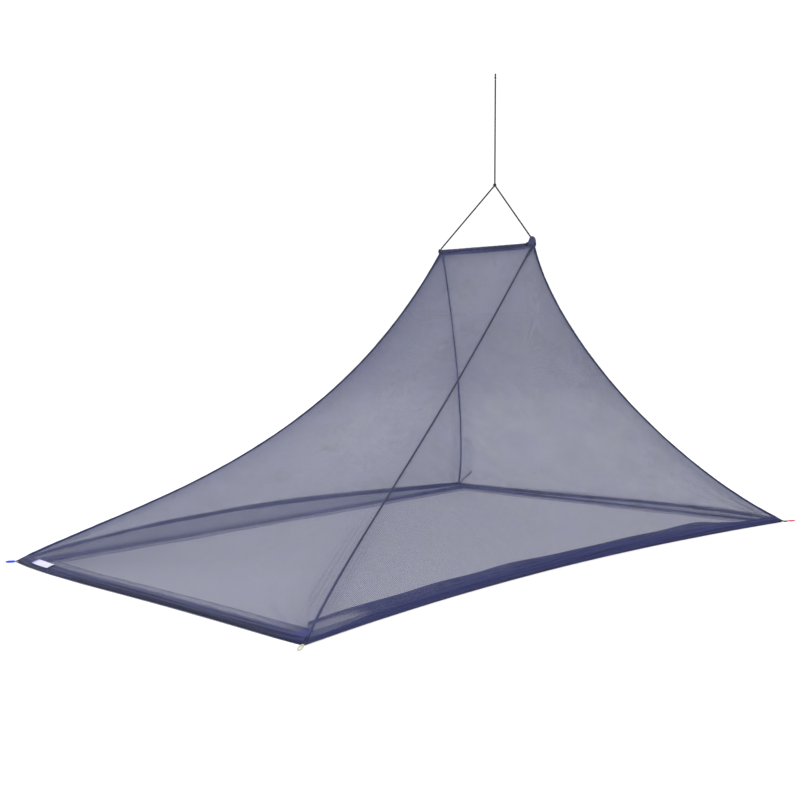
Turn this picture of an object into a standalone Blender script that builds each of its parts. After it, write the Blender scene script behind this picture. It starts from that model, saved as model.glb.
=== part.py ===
"""Wedge-shaped mosquito net canopy, hung from one cord and pegged at four corners.

Metres, +Z up. The ground is z = 0. The origin is under the middle of the net.
The long sides run along X: the foot end is at -X, the head end at +X.
The near side is at -Y, the far side at +Y.
"""
import math

import bpy
import numpy as np

# ---------------------------------------------------------------- driving sizes
# Corner tips on the ground, pegged a little out of square.
CORNERS = {
    "foot_far": (-1.1515, 0.7180),
    "foot_near": (-1.2385, -0.7140),
    "head_near": (1.2385, -0.7780),
    "head_far": (1.1705, 0.7780),
}

# Where the seams meet, at the two ends of the ridge.
RIDGE_ENDS = {
    "far": (0.3798, 0.2125, 1.0365),
    "near": (0.3751, -0.2180, 1.0510),
}
RIDGE_X = 0.3775

# Each seam is one cubic curve. Its two handles are fractions of the seam's run
# (out, back) and of the ridge's height (down, up), drawn in sideways by metres.
SEAM_SHAPES = {
    "foot": {"out": 0.349, "down": 0.705, "side_top": 0.188,
             "back": 0.257, "up": 0.180, "side_foot": 0.085},
    "head": {"out": 0.095, "down": 0.328, "side_top": 0.050,
             "back": 0.416, "up": 0.201, "side_foot": 0.060},
}

# Each hem bows in (+) or out (-) and lifts, given at 1/4, 1/2 and 3/4 of its run.
HEMS = {
    "foot": {"from": "foot_far", "to": "foot_near",
             "bow": (-0.024, -0.012, -0.006), "lift": (0.0, 0.0, 0.0)},
    "near": {"from": "foot_near", "to": "head_near",
             "bow": (0.080, 0.106, 0.078), "lift": (0.0, 0.0, 0.0)},
    "head": {"from": "head_near", "to": "head_far",
             "bow": (0.0, 0.0, 0.0), "lift": (0.014, 0.010, 0.003)},
    "far": {"from": "head_far", "to": "foot_far",
            "bow": (0.0, 0.0, 0.0), "lift": (0.027, 0.047, 0.042)},
}
PANEL_CELLS = {"foot": 12, "near": 18, "head": 12, "far": 18}
SEAM_ROWS = 17

GAP = 0.0003
NET_THICKNESS = 0.001
HEM_THICKNESS = 0.002
HEM_SHARE = 0.975
SKIRT_THICKNESS = 0.0012
BINDING_RADIUS = 0.0035
TIP_INSET = 0.006
TRIANGLE_DROP = 0.008
SLEEVE_RADIUS = 0.0125
SLEEVE_AXIS_DROP = 0.0055
ROD_RADIUS = 0.0040
CORD_RADIUS = 0.0025
THIN_CORD_RADIUS = 0.0015
STUB_RADIUS = 0.0021

# Across the ground skirt: distance in from its outer edge, and height of the crease.
SKIRT_SECTION = (
    {"across": 0.000, "height": 0.000},
    {"across": 0.014, "height": 0.000},
    {"across": 0.030, "height": 0.005},
    {"across": 0.046, "height": 0.001},
    {"across": 0.064, "height": 0.006},
    {"across": 0.082, "height": 0.001},
    {"across": 0.100, "height": 0.004},
    {"across": 0.120, "height": 0.000},
)
SKIRT_FLAT = 0.016
SKIRT_FALL = 0.045
SKIRT_CORNER_GAP = 0.0008
LIFT_START = 0.12

# Along the ridge sleeve, from its far end: half width, height over and depth
# under the rod's axis.
SLEEVE_SECTIONS = (
    {"y": 0.2240, "side": 0.0064, "up": 0.0066, "down": 0.0064},
    {"y": 0.2172, "side": 0.0064, "up": 0.0066, "down": 0.0064},
    {"y": 0.2145, "side": 0.0110, "up": 0.0115, "down": 0.0122},
    {"y": 0.2050, "side": 0.0122, "up": 0.0125, "down": 0.0125},
    {"y": 0.1400, "side": 0.0118, "up": 0.0115, "down": 0.0125},
    {"y": 0.0700, "side": 0.0125, "up": 0.0128, "down": 0.0125},
    {"y": 0.0000, "side": 0.0116, "up": 0.0112, "down": 0.0125},
    {"y": -0.0800, "side": 0.0124, "up": 0.0125, "down": 0.0125},
    {"y": -0.1500, "side": 0.0117, "up": 0.0118, "down": 0.0125},
    {"y": -0.1800, "side": 0.0105, "up": 0.0110, "down": 0.0110},
    {"y": -0.1885, "side": 0.0064, "up": 0.0066, "down": 0.0066},
    {"y": -0.1935, "side": 0.0064, "up": 0.0066, "down": 0.0066},
    {"y": -0.1990, "side": 0.0095, "up": 0.0150, "down": 0.0100},
    {"y": -0.2060, "side": 0.0120, "up": 0.0255, "down": 0.0125},
    {"y": -0.2120, "side": 0.0115, "up": 0.0285, "down": 0.0125},
    {"y": -0.2225, "side": 0.0085, "up": 0.0190, "down": 0.0120},
)
SLEEVE_STEPS = 18
SLEEVE_SIDES = 12
LASHING_FAR_Y = 0.2195
LASHING_NEAR_Y = -0.1910
LASHING_CORD_RADIUS = 0.0018

# The cords, from the sleeve up to the hook.
BRIDLE_FOOT_FAR = (RIDGE_X, 0.2100, 1.0452)
BRIDLE_FOOT_NEAR = (RIDGE_X, -0.2050, 1.0698)
BRIDLE_KNOT = (RIDGE_X, -0.0405, 1.2640)
BRIDLE_KNOT_SIZE = (0.0062, 0.0070, 0.0080)
HANG_KNOT = (RIDGE_X, -0.0405, 1.6494)
HANG_KNOT_SIZE = (0.0045, 0.0045, 0.0055)
HANG_LOOP_HEIGHT = 0.0076
HANG_LOOP_HALF_WIDTH = 0.0036

# Stake loops: where they start past the corner's tip, length, half width and colour.
CORNER_SEAT = -0.0005
GROUND_CORD_HEIGHT = THIN_CORD_RADIUS + 0.0002
STAKE_LOOPS = {
    "foot_far": {"start": 0.0, "length": 0.030, "half_width": 0.0040, "color": "blue"},
    "foot_near": {"start": 0.0, "length": 0.048, "half_width": 0.0045, "color": "white"},
    "head_near": {"start": 0.018, "length": 0.030, "half_width": 0.0040, "color": "red"},
}
STAKE_LINE_END = (1.5735, 1.0294)
STAKE_LINE_POINTS = 22
STAKE_LINE_WANDER = 0.006
STAKE_KNOT_SIZE = (0.0040, 0.0040, 0.0036)
STAKE_END_LOOP = (0.0090, 0.0050)

# The blank tag on the foot panel's hem: its columns in the panel's cells from the far
# corner, and its rows in shares of the hem's height from the top.
LABEL_COLUMNS = (0.80, 1.00, 1.30, 1.62)
LABEL_ROWS = (0.10, 0.34, 0.58)
LABEL_THICKNESS = 0.0008
LABEL_CLEARANCE = 0.0008

COLORS = {
    "net": (0.055, 0.062, 0.130),
    "binding": (0.018, 0.020, 0.045),
    "cord": (0.060, 0.065, 0.072),
    "rod": (0.030, 0.030, 0.032),
    "blue": (0.005, 0.100, 0.750),
    "white": (0.750, 0.740, 0.660),
    "red": (0.650, 0.040, 0.100),
    "green": (0.050, 0.070, 0.055),
    "tag": (0.850, 0.850, 0.870),
}


# ---------------------------------------------------------------- small helpers
def clear_scene():
    """Remove every object that the file holds."""
    for thing in list(bpy.data.objects):
        bpy.data.objects.remove(thing, do_unlink=True)


def material(name, color, roughness=0.8, metallic=0.0):
    """One Principled material, made once for each name."""
    found = bpy.data.materials.get(name)
    if found:
        return found
    made = bpy.data.materials.new(name)
    made.use_nodes = True
    shader = made.node_tree.nodes["Principled BSDF"]
    shader.inputs["Base Color"].default_value = (*color, 1.0)
    shader.inputs["Roughness"].default_value = roughness
    shader.inputs["Metallic"].default_value = metallic
    return made


def add_object(name, data, finish):
    """Link a mesh or curve as a named object with its own material."""
    made = bpy.data.objects.new(name, data)
    bpy.context.scene.collection.objects.link(made)
    data.materials.append(finish)
    return made


def unit(vectors):
    """The same vectors at length one."""
    vectors = np.asarray(vectors, float)
    return vectors / np.linalg.norm(vectors, axis=-1, keepdims=True)


def smooth(x):
    """0 up to 0, 1 from 1 on, and an even S between."""
    x = np.clip(x, 0.0, 1.0)
    return x * x * (3.0 - 2.0 * x)


def through_quarters(values, t):
    """The one smooth curve that is 0 at both ends and has these values between."""
    knots = np.linspace(0.0, 1.0, 5)
    heights = (0.0, *values, 0.0)
    total = np.zeros_like(t)
    for i, height in enumerate(heights):
        others = np.delete(knots, i)
        factors = (t[..., None] - others) / (knots[i] - others)
        total = total + height * np.prod(factors, axis=-1)
    return total


def grid_object(name, points, finish, thickness, offset, weights=None):
    """A grid of points as a sheet of cloth, thickened by Solidify."""
    rows, columns = points.shape[:2]
    index = np.arange(rows * columns).reshape(rows, columns)
    corners = (index[:-1, :-1], index[1:, :-1], index[1:, 1:], index[:-1, 1:])
    faces = np.stack([c.ravel() for c in corners], axis=1)
    mesh = bpy.data.meshes.new(name)
    mesh.from_pydata(points.reshape(-1, 3).tolist(), [], faces.tolist())
    made = add_object(name, mesh, finish)
    mesh.shade_smooth()
    solid = made.modifiers.new("Thickness", "SOLIDIFY")
    solid.thickness = thickness
    solid.offset = offset
    if weights is not None:
        group = made.vertex_groups.new(name="thickness")
        for vertex, weight in enumerate(weights.ravel().tolist()):
            group.add([vertex], weight, "REPLACE")
        solid.vertex_group = group.name
    return made


def cord_object(name, points, radius, finish, closed=False):
    """A round cord along a list of points."""
    curve = bpy.data.curves.new(name, "CURVE")
    curve.dimensions = "3D"
    curve.twist_mode = "MINIMUM"
    curve.bevel_depth = radius
    curve.bevel_resolution = 2
    curve.use_fill_caps = not closed
    spline = curve.splines.new("POLY")
    spline.points.add(len(points) - 1)
    for target, point in zip(spline.points, np.asarray(points).tolist()):
        target.co = (*point, 1.0)
    spline.use_cyclic_u = closed
    return add_object(name, curve, finish)


def straight_cord(name, start, end, radius, finish, trim_start=0.0, trim_end=0.0):
    """A taut cord between two places, shortened by its trims."""
    start = np.array(start, float)
    end = np.array(end, float)
    along = unit(end - start)
    start = start + along * trim_start
    end = end - along * trim_end
    length = np.linalg.norm(end - start)
    count = max(4, int(length / (6.0 * radius)) + 1)
    steps = np.linspace(0.0, 1.0, count)[:, None]
    return cord_object(name, start + (end - start) * steps, radius, finish)


def knot_object(name, place, size, finish, wraps=3.0):
    """A drawn-up knot: an egg with shallow slanting turns around it."""
    rings = 8
    sides = 12
    polar = np.linspace(0.0, math.pi, rings + 1)[1:-1]
    around = np.linspace(0.0, 2.0 * math.pi, sides, endpoint=False)
    lift, turn = np.meshgrid(polar, around, indexing="ij")
    bulge = 1.0 + 0.07 * np.cos(wraps * lift * 2.0 + turn)
    body = np.stack([np.sin(lift) * np.cos(turn) * bulge * size[0],
                     np.sin(lift) * np.sin(turn) * bulge * size[1],
                     np.cos(lift) * size[2]], axis=-1).reshape(-1, 3)
    poles = np.array([[0.0, 0.0, size[2]], [0.0, 0.0, -size[2]]])
    vertices = np.vstack([body, poles]) + np.array(place)
    top, bottom = len(body), len(body) + 1
    faces = []
    for ring in range(rings - 2):
        for side in range(sides):
            following = (side + 1) % sides
            faces.append((ring * sides + side, (ring + 1) * sides + side,
                          (ring + 1) * sides + following, ring * sides + following))
    last = (rings - 2) * sides
    for side in range(sides):
        following = (side + 1) % sides
        faces.append((top, side, following))
        faces.append((bottom, last + following, last + side))
    mesh = bpy.data.meshes.new(name)
    mesh.from_pydata(vertices.tolist(), [], faces)
    mesh.shade_smooth()
    return add_object(name, mesh, finish)


# ---------------------------------------------------------------- seams
def seam_curve(corner):
    """A seam from its ridge end down to its corner, as many close points."""
    end_name, side_name = corner.split("_")
    shape = SEAM_SHAPES[end_name]
    top = np.array(RIDGE_ENDS[side_name])
    tip = np.array(CORNERS[corner])
    run = tip - top[:2]
    reach = np.linalg.norm(run)
    out = np.append(run / reach, 0.0)
    foot = np.append(tip - out[:2] * TIP_INSET,
                     SKIRT_THICKNESS + GAP + BINDING_RADIUS)
    to_middle = np.array([0.0, -np.sign(tip[1]), 0.0])
    inward = unit(to_middle - out * (to_middle @ out))
    up = np.array([0.0, 0.0, 1.0])
    handle_top = (top + out * shape["out"] * reach - up * shape["down"] * top[2]
                  + inward * shape["side_top"])
    handle_foot = (foot - out * shape["back"] * reach + up * shape["up"] * top[2]
                   + inward * shape["side_foot"])
    t = np.linspace(0.0, 1.0, 2001)[:, None]
    return ((1 - t) ** 3 * top + 3 * (1 - t) ** 2 * t * handle_top
            + 3 * (1 - t) * t * t * handle_foot + t ** 3 * foot)


def sleeve_axis_height(y):
    """Height of the rod's axis, which leans a little from end to end."""
    far = RIDGE_ENDS["far"]
    near = RIDGE_ENDS["near"]
    share = (np.asarray(y) - far[1]) / (near[1] - far[1])
    return far[2] + (near[2] - far[2]) * share - SLEEVE_AXIS_DROP


def seam_points(corner):
    """Points of a seam from where it leaves the sleeve, at the panels' rows."""
    curve = seam_curve(corner)
    from_axis = np.hypot(curve[:, 0] - RIDGE_X,
                         curve[:, 2] - sleeve_axis_height(curve[:, 1]))
    first = int(np.argmax(from_axis > SLEEVE_RADIUS + GAP))
    curve = curve[first:]
    steps = np.linalg.norm(np.diff(curve, axis=0), axis=1)
    along = np.concatenate([[0.0], np.cumsum(steps)])
    wanted = along[-1] * row_shares()
    return np.stack([np.interp(wanted, along, curve[:, k]) for k in range(3)], axis=1)


def row_shares():
    """Shares of a seam's length at which the panels have their rows."""
    return np.append(np.linspace(0.0, HEM_SHARE, SEAM_ROWS), 1.0)


def build_bindings():
    """Tape over each of the four seams."""
    finish = material("seam_binding", COLORS["binding"], roughness=0.75)
    for corner in CORNERS:
        cord_object("seam_binding_" + corner, seam_points(corner), BINDING_RADIUS, finish)


# ---------------------------------------------------------------- net panels
def hem_frame(side):
    """Start, direction, inward direction and length of a side's hem."""
    hem = HEMS[side]
    start = np.append(CORNERS[hem["from"]], 0.0)
    end = np.append(CORNERS[hem["to"]], 0.0)
    along = unit(end - start)
    inward = np.array([-along[1], along[0], 0.0])
    return start, along, inward, np.linalg.norm(end - start)


def hem_lift(side, t):
    """Height of a side's hem off the ground, from nothing at both corners."""
    length = hem_frame(side)[3]
    from_end = np.minimum(t, 1.0 - t) * length
    return through_quarters(HEMS[side]["lift"], t) * smooth(from_end / LIFT_START)


def seam_edge(seam, other):
    """The panel's edge beside a seam: clear of the binding, square to the seam."""
    tangent = unit(np.gradient(seam, axis=0))
    across = unit(other - seam)
    across = across - tangent * np.sum(across * tangent, axis=1, keepdims=True)
    return seam + unit(across) * (BINDING_RADIUS + GAP)


def panel_surface(side):
    """Rows of straight threads from seam to seam, drawn to the hem at the foot."""
    hem = HEMS[side]
    first = seam_points(hem["from"])
    second = seam_points(hem["to"])
    left = seam_edge(first, second)
    right = seam_edge(second, first)
    if side in ("near", "far"):
        for edge in (left, right):
            edge[0] += unit(edge[1] - edge[0]) * TRIANGLE_DROP
    u = np.linspace(0.0, 1.0, PANEL_CELLS[side] + 1)
    rows = left[:, None] * (1.0 - u)[:, None] + right[:, None] * u[:, None]
    start, along, inward, length = hem_frame(side)
    lowest = rows[-1]
    t = (lowest - start) @ along / length
    slope_room = SKIRT_THICKNESS + GAP + 0.55 * HEM_THICKNESS
    target = slope_room + hem_lift(side, t)
    bow = through_quarters(hem["bow"], t)
    bow = bow - (bow[0] * (1.0 - u) + bow[-1] * u)
    from_end = np.minimum(u, 1.0 - u) * length
    shift = inward * bow[:, None]
    shift[:, 2] = (target - lowest[:, 2]) * smooth(from_end / 0.06)
    return rows + shift * row_shares()[:, None, None] ** 3


def build_panels():
    """The four net panels, each with its doubled hem."""
    for side in HEMS:
        points = panel_surface(side)
        weights = np.full(points.shape[:2], NET_THICKNESS / HEM_THICKNESS)
        weights[-2:] = 1.0
        finish = material("net_panel_" + side, COLORS["net"], roughness=0.85)
        grid_object("net_panel_" + side, points, finish, HEM_THICKNESS, 0.0, weights)


# ---------------------------------------------------------------- ground skirts
def mitre(side, across, at_end):
    """How far from a corner the skirt's mitred end lies, at a distance across."""
    hem = HEMS[side]
    start, along, inward, length = hem_frame(side)
    order = list(HEMS)
    step = 1 if at_end else -1
    neighbour = order[(order.index(side) + step) % len(order)]
    other_along = hem_frame(neighbour)[1]
    corner_angle = math.pi - math.acos(float(np.clip(along @ other_along, -1.0, 1.0)))
    slant = 1.0 / math.tan(corner_angle / 2.0)
    clear = SKIRT_CORNER_GAP / math.sin(corner_angle / 2.0)
    inset = np.zeros_like(across)
    for _ in range(12):
        share = 1.0 - inset / length if at_end else inset / length
        inset = (across + through_quarters(hem["bow"], share)) * slant + clear
    return inset


def skirt_surface(side, cells):
    """The underside of a skirt: flat at its outer edge, then in long creases."""
    hem = HEMS[side]
    start, along, inward, length = hem_frame(side)
    across = np.array([row["across"] for row in SKIRT_SECTION])
    height = np.array([row["height"] for row in SKIRT_SECTION])
    first = mitre(side, across, False)
    last = length - mitre(side, across, True)
    k = np.linspace(0.0, 1.0, cells + 1)
    place = first[:, None] + (last - first)[:, None] * k[None, :]
    t = place / length
    bow = through_quarters(hem["bow"], t)
    lift = hem_lift(side, t)
    points = (start + along * place[..., None]
              + inward * (across[:, None] + bow)[..., None])
    fade = smooth(np.minimum(k, 1.0 - k) * length / 0.20)
    turn = 2.0 * math.pi
    wave = 0.75 + 0.25 * np.sin(turn * (2.3 * k[None, :] + 7.0 * across[:, None]))
    fall = 1.0 - smooth((across - SKIRT_FLAT) / SKIRT_FALL)
    points[..., 2] = lift * fall[:, None] + height[:, None] * fade[None, :] * wave
    return points


def build_skirts():
    """A strip of net along each hem, lying in on the ground."""
    for side in HEMS:
        points = skirt_surface(side, PANEL_CELLS[side] + 2)
        finish = material("ground_skirt_" + side, COLORS["net"], roughness=0.85)
        grid_object("ground_skirt_" + side, points[::-1], finish, SKIRT_THICKNESS, 1.0)


# ---------------------------------------------------------------- ridge
def sleeve_outline(y):
    """Half width, height and depth of the sleeve at a place along it."""
    places = np.array([row["y"] for row in SLEEVE_SECTIONS])
    order = np.argsort(places)
    sizes = []
    for column in ("side", "up", "down"):
        values = np.array([row[column] for row in SLEEVE_SECTIONS])
        sizes.append(np.interp(y, places[order], values[order]))
    return sizes


def sleeve_stations():
    """Places along the sleeve: even steps and every section of the table."""
    marks = [row["y"] for row in SLEEVE_SECTIONS]
    even = np.linspace(min(marks), max(marks), SLEEVE_STEPS)
    far_from_marks = [y for y in even if min(abs(y - m) for m in marks) > 0.004]
    return np.array(sorted(marks + far_from_marks))


def build_sleeve():
    """The gathered sleeve: a tube of cloth with the rod's bore through it."""
    y = sleeve_stations()
    side, up, down = sleeve_outline(y)
    around = np.linspace(0.0, 2.0 * math.pi, SLEEVE_SIDES, endpoint=False)
    sine = np.sin(around)
    cosine = np.cos(around)
    height = np.where(sine >= 0.0, up[:, None] * sine, down[:, None] * sine)
    crinkle = 1.0 - 0.06 * (0.5 + 0.5 * np.sin(61.0 * y[:, None] + 2.0 * around))
    outer = np.stack([RIDGE_X + side[:, None] * cosine * crinkle,
                      np.repeat(y[:, None], SLEEVE_SIDES, axis=1),
                      sleeve_axis_height(y)[:, None] + height * crinkle], axis=-1)
    bore = (ROD_RADIUS + GAP) / math.cos(math.pi / SLEEVE_SIDES)
    inner = outer.copy()
    inner[..., 0] = RIDGE_X + bore * cosine
    inner[..., 2] = sleeve_axis_height(y)[:, None] + bore * sine
    count = len(y)
    vertices = np.vstack([outer.reshape(-1, 3), inner.reshape(-1, 3)])
    faces = []
    for shell, flip in ((0, False), (count * SLEEVE_SIDES, True)):
        for station in range(count - 1):
            for corner in range(SLEEVE_SIDES):
                following = (corner + 1) % SLEEVE_SIDES
                here = shell + station * SLEEVE_SIDES
                there = here + SLEEVE_SIDES
                face = (here + corner, here + following,
                        there + following, there + corner)
                faces.append(face if flip else face[::-1])
    inner_start = count * SLEEVE_SIDES
    last = (count - 1) * SLEEVE_SIDES
    for corner in range(SLEEVE_SIDES):
        following = (corner + 1) % SLEEVE_SIDES
        faces.append((corner, inner_start + corner,
                      inner_start + following, following)[::-1])
        faces.append((last + corner, last + following,
                      inner_start + last + following, inner_start + last + corner)[::-1])
    mesh = bpy.data.meshes.new("ridge_sleeve")
    mesh.from_pydata(vertices.tolist(), [], faces)
    mesh.shade_smooth()
    add_object("ridge_sleeve", mesh, material("ridge_sleeve", COLORS["binding"], 0.7))


def build_rod():
    """The spreader rod in the sleeve."""
    far_y = max(row["y"] for row in SLEEVE_SECTIONS) + 0.003
    near_y = min(row["y"] for row in SLEEVE_SECTIONS) + 0.004
    ends = []
    for y in (far_y, near_y):
        around = np.linspace(0.0, 2.0 * math.pi, SLEEVE_SIDES, endpoint=False)
        ends.append(np.stack([RIDGE_X + ROD_RADIUS * np.cos(around),
                              np.full(SLEEVE_SIDES, y),
                              sleeve_axis_height(y) + ROD_RADIUS * np.sin(around)],
                             axis=1))
    faces = [tuple(range(SLEEVE_SIDES))[::-1],
             tuple(range(SLEEVE_SIDES, 2 * SLEEVE_SIDES))]
    for corner in range(SLEEVE_SIDES):
        following = (corner + 1) % SLEEVE_SIDES
        faces.append((corner, following,
                      SLEEVE_SIDES + following, SLEEVE_SIDES + corner))
    mesh = bpy.data.meshes.new("spreader_rod")
    mesh.from_pydata(np.vstack(ends).tolist(), [], faces)
    add_object("spreader_rod", mesh, material("spreader_rod", COLORS["rod"], 0.45))


def build_lashings():
    """A turn of cord that draws the sleeve in at each end."""
    finish = material("bridle_cord", COLORS["cord"], 0.8)
    for name, y in (("far", LASHING_FAR_Y), ("near", LASHING_NEAR_Y)):
        side, up, down = sleeve_outline(y)
        clear = LASHING_CORD_RADIUS + GAP
        around = np.linspace(0.0, 2.0 * math.pi, 18, endpoint=False)
        height = np.where(np.sin(around) >= 0.0, up + clear, down + clear)
        points = np.stack([RIDGE_X + (side + clear) * np.cos(around),
                           np.full(18, y),
                           sleeve_axis_height(y) + height * np.sin(around)], axis=1)
        cord_object("sleeve_lashing_" + name, points, LASHING_CORD_RADIUS, finish, True)


# ---------------------------------------------------------------- cords
def build_hanging():
    """The bridle, the cord to the hook, their knots and the small end loop."""
    finish = material("bridle_cord", COLORS["cord"], 0.8)
    knot_reach = max(BRIDLE_KNOT_SIZE) + GAP
    straight_cord("bridle_leg_far", BRIDLE_KNOT, BRIDLE_FOOT_FAR, CORD_RADIUS, finish,
                  trim_start=knot_reach)
    straight_cord("bridle_leg_near", BRIDLE_KNOT, BRIDLE_FOOT_NEAR, CORD_RADIUS, finish,
                  trim_start=knot_reach)
    knot_object("bridle_knot", BRIDLE_KNOT, BRIDLE_KNOT_SIZE, finish)
    straight_cord("hang_cord", BRIDLE_KNOT, HANG_KNOT, CORD_RADIUS, finish,
                  trim_start=knot_reach, trim_end=HANG_KNOT_SIZE[2] + GAP)
    knot_object("hang_knot", HANG_KNOT, HANG_KNOT_SIZE, finish, wraps=2.0)
    around = np.linspace(0.0, 2.0 * math.pi, 20, endpoint=False)
    middle = HANG_KNOT[2] + HANG_KNOT_SIZE[2] + GAP + THIN_CORD_RADIUS
    middle += HANG_LOOP_HEIGHT / 2.0
    points = np.stack([np.full(20, HANG_KNOT[0]),
                       HANG_KNOT[1] + HANG_LOOP_HALF_WIDTH * np.cos(around),
                       middle + HANG_LOOP_HEIGHT / 2.0 * np.sin(around)], axis=1)
    cord_object("hang_loop", points, THIN_CORD_RADIUS, finish, True)


def outward(corner):
    """The way a corner's loop is pulled: from the net's middle through the tip."""
    return unit(np.array(CORNERS[corner]))


def build_stake_loops():
    """Coloured cord loops at three corners, lying on the ground."""
    for corner, loop in STAKE_LOOPS.items():
        tip = np.array(CORNERS[corner])
        away = outward(corner)
        aside = np.array([-away[1], away[0]])
        start = loop["start"] + CORNER_SEAT + THIN_CORD_RADIUS
        if loop["start"] > 0.0:
            stub = material("stake_stub", COLORS["green"], 0.85)
            height = STUB_RADIUS + GROUND_CORD_HEIGHT - THIN_CORD_RADIUS
            near_end = np.append(tip + away * CORNER_SEAT, height)
            far_end = np.append(tip + away * (loop["start"] + CORNER_SEAT - GAP), height)
            straight_cord("stake_stub_" + corner, near_end, far_end, STUB_RADIUS, stub)
        half = loop["length"] / 2.0
        around = np.linspace(0.0, 2.0 * math.pi, 24, endpoint=False)
        reach = start + half - half * np.cos(around)
        width = loop["half_width"] * np.sin(around) * (0.75 - 0.25 * np.cos(around))
        plan = tip + away * reach[:, None] + aside * width[:, None]
        points = np.column_stack([plan, np.full(24, GROUND_CORD_HEIGHT)])
        finish = material("stake_loop_" + loop["color"], COLORS[loop["color"]], 0.7)
        cord_object("stake_loop_" + corner, points, THIN_CORD_RADIUS, finish, True)


def stake_line_route():
    """The far head corner's line, on the ground out to its stake."""
    start = np.array(CORNERS["head_far"])
    end = np.array(STAKE_LINE_END)
    away = unit(end - start)
    aside = np.array([-away[1], away[0]])
    s = np.linspace(0.0, 1.0, STAKE_LINE_POINTS)
    plan = start + away * CORNER_SEAT + (end - start) * s[:, None]
    wander = STAKE_LINE_WANDER * np.sin(1.5 * math.pi * s) * np.sin(math.pi * s)
    plan = plan + aside * wander[:, None]
    return np.column_stack([plan, np.full(STAKE_LINE_POINTS, GROUND_CORD_HEIGHT)])


def build_stake_line():
    """The longer dark line of the far head corner, with its end loop."""
    finish = material("stake_line", COLORS["green"], 0.85)
    route = stake_line_route()
    cord_object("stake_line_head_far", route, THIN_CORD_RADIUS, finish)
    away = unit(route[-1] - route[-2])
    place = route[-1] + away * (STAKE_KNOT_SIZE[0] + GAP)
    place[2] = STAKE_KNOT_SIZE[2]
    knot_object("stake_line_knot", place, STAKE_KNOT_SIZE, finish, wraps=2.0)
    aside = np.array([-away[1], away[0], 0.0])
    around = np.linspace(0.0, 2.0 * math.pi, 20, endpoint=False)
    half, half_width = STAKE_END_LOOP
    reach = 0.87 * STAKE_KNOT_SIZE[0] + GAP + THIN_CORD_RADIUS + half
    points = (place + away * (reach - half * np.cos(around))[:, None]
              + aside * (half_width * np.sin(around))[:, None])
    points[:, 2] = GROUND_CORD_HEIGHT
    cord_object("stake_line_loop", points, THIN_CORD_RADIUS, finish, True)


# ---------------------------------------------------------------- tag
def build_label():
    """The blank tag, sewn on the outside of the foot panel's hem."""
    top, bottom = panel_surface("foot")[-2:]
    columns = np.array(LABEL_COLUMNS)
    whole = np.floor(columns).astype(int)
    part_way = (columns - whole)[:, None]
    upper = top[whole] * (1.0 - part_way) + top[whole + 1] * part_way
    lower = bottom[whole] * (1.0 - part_way) + bottom[whole + 1] * part_way
    shares = np.array(LABEL_ROWS)[:, None, None]
    patch = upper * (1.0 - shares) + lower * shares
    down = unit(np.gradient(patch, axis=0))
    along = unit(np.gradient(patch, axis=1))
    outside = unit(np.cross(down, along))
    clear = 0.5 * HEM_THICKNESS + LABEL_CLEARANCE
    finish = material("label_tag", COLORS["tag"], 0.6)
    grid_object("label_tag", patch + outside * clear, finish, LABEL_THICKNESS, 1.0)


# ---------------------------------------------------------------- build
def main():
    clear_scene()
    build_panels()
    build_skirts()
    build_bindings()
    build_sleeve()
    build_rod()
    build_lashings()
    build_hanging()
    build_stake_loops()
    build_stake_line()
    build_label()


main()
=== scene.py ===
# %% [markdown]
# # A hanging mosquito net, dressed for its portrait
# This lesson takes a net canopy that was already built as solids and gives it its real
# look: see-through knitted mesh, doubled hems, sewn seams, cords and knots. Every new
# piece is a surface computed with numpy, laid over the solid that it stands for.

# %% Load the solid model
import math

import bpy
import numpy as np
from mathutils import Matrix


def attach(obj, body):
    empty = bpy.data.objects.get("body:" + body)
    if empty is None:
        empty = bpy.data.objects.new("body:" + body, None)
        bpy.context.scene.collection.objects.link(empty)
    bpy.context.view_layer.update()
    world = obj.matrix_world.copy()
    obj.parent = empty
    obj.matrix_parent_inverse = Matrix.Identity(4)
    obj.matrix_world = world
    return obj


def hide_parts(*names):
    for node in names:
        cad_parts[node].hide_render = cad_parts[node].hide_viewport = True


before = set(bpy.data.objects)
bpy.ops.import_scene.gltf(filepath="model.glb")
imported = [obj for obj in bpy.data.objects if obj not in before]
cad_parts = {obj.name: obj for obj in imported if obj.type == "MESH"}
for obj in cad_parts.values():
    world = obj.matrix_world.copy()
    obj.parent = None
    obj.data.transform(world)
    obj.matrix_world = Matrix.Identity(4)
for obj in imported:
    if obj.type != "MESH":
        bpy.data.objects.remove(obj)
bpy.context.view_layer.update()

print("nodes in the solid model:", len(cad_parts))

# %% [markdown]
# ## The camera
# A reference view is matched by solving where its camera stood. The net was seen from
# low down beside its near left corner, so the camera stands there and looks slightly
# down. It comes first, because the free cords have to stay close to what it sees.

# %% Camera
IMAGE_SIDE = 800
FOCAL_PIXELS = 1288.1
SENSOR_WIDTH = 36.0
lens = bpy.data.cameras.new("portrait_lens")
lens.sensor_width = SENSOR_WIDTH
lens.lens = FOCAL_PIXELS * SENSOR_WIDTH / IMAGE_SIDE
lens.clip_start = 0.05
lens.clip_end = 400.0
camera = bpy.data.objects.new("portrait_camera", lens)
camera.location = (-3.3776, -2.9566, 0.8321)
camera.rotation_euler = (math.radians(85.741), 0.0, math.radians(-47.9985))
bpy.context.scene.collection.objects.link(camera)
bpy.context.scene.camera = camera
print("focal length in mm:", round(lens.lens, 2))

# %% [markdown]
# ## Surfaces from grids
# A sheet of cloth is a grid: two parameters run over it, and numpy works out every
# point at once. One helper turns such a grid into a mesh with a UV map in metres, so
# that threads keep their size, and with named values at each point, which materials
# read as attributes.

# %% Grid helpers
TURN = 2.0 * math.pi


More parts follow.
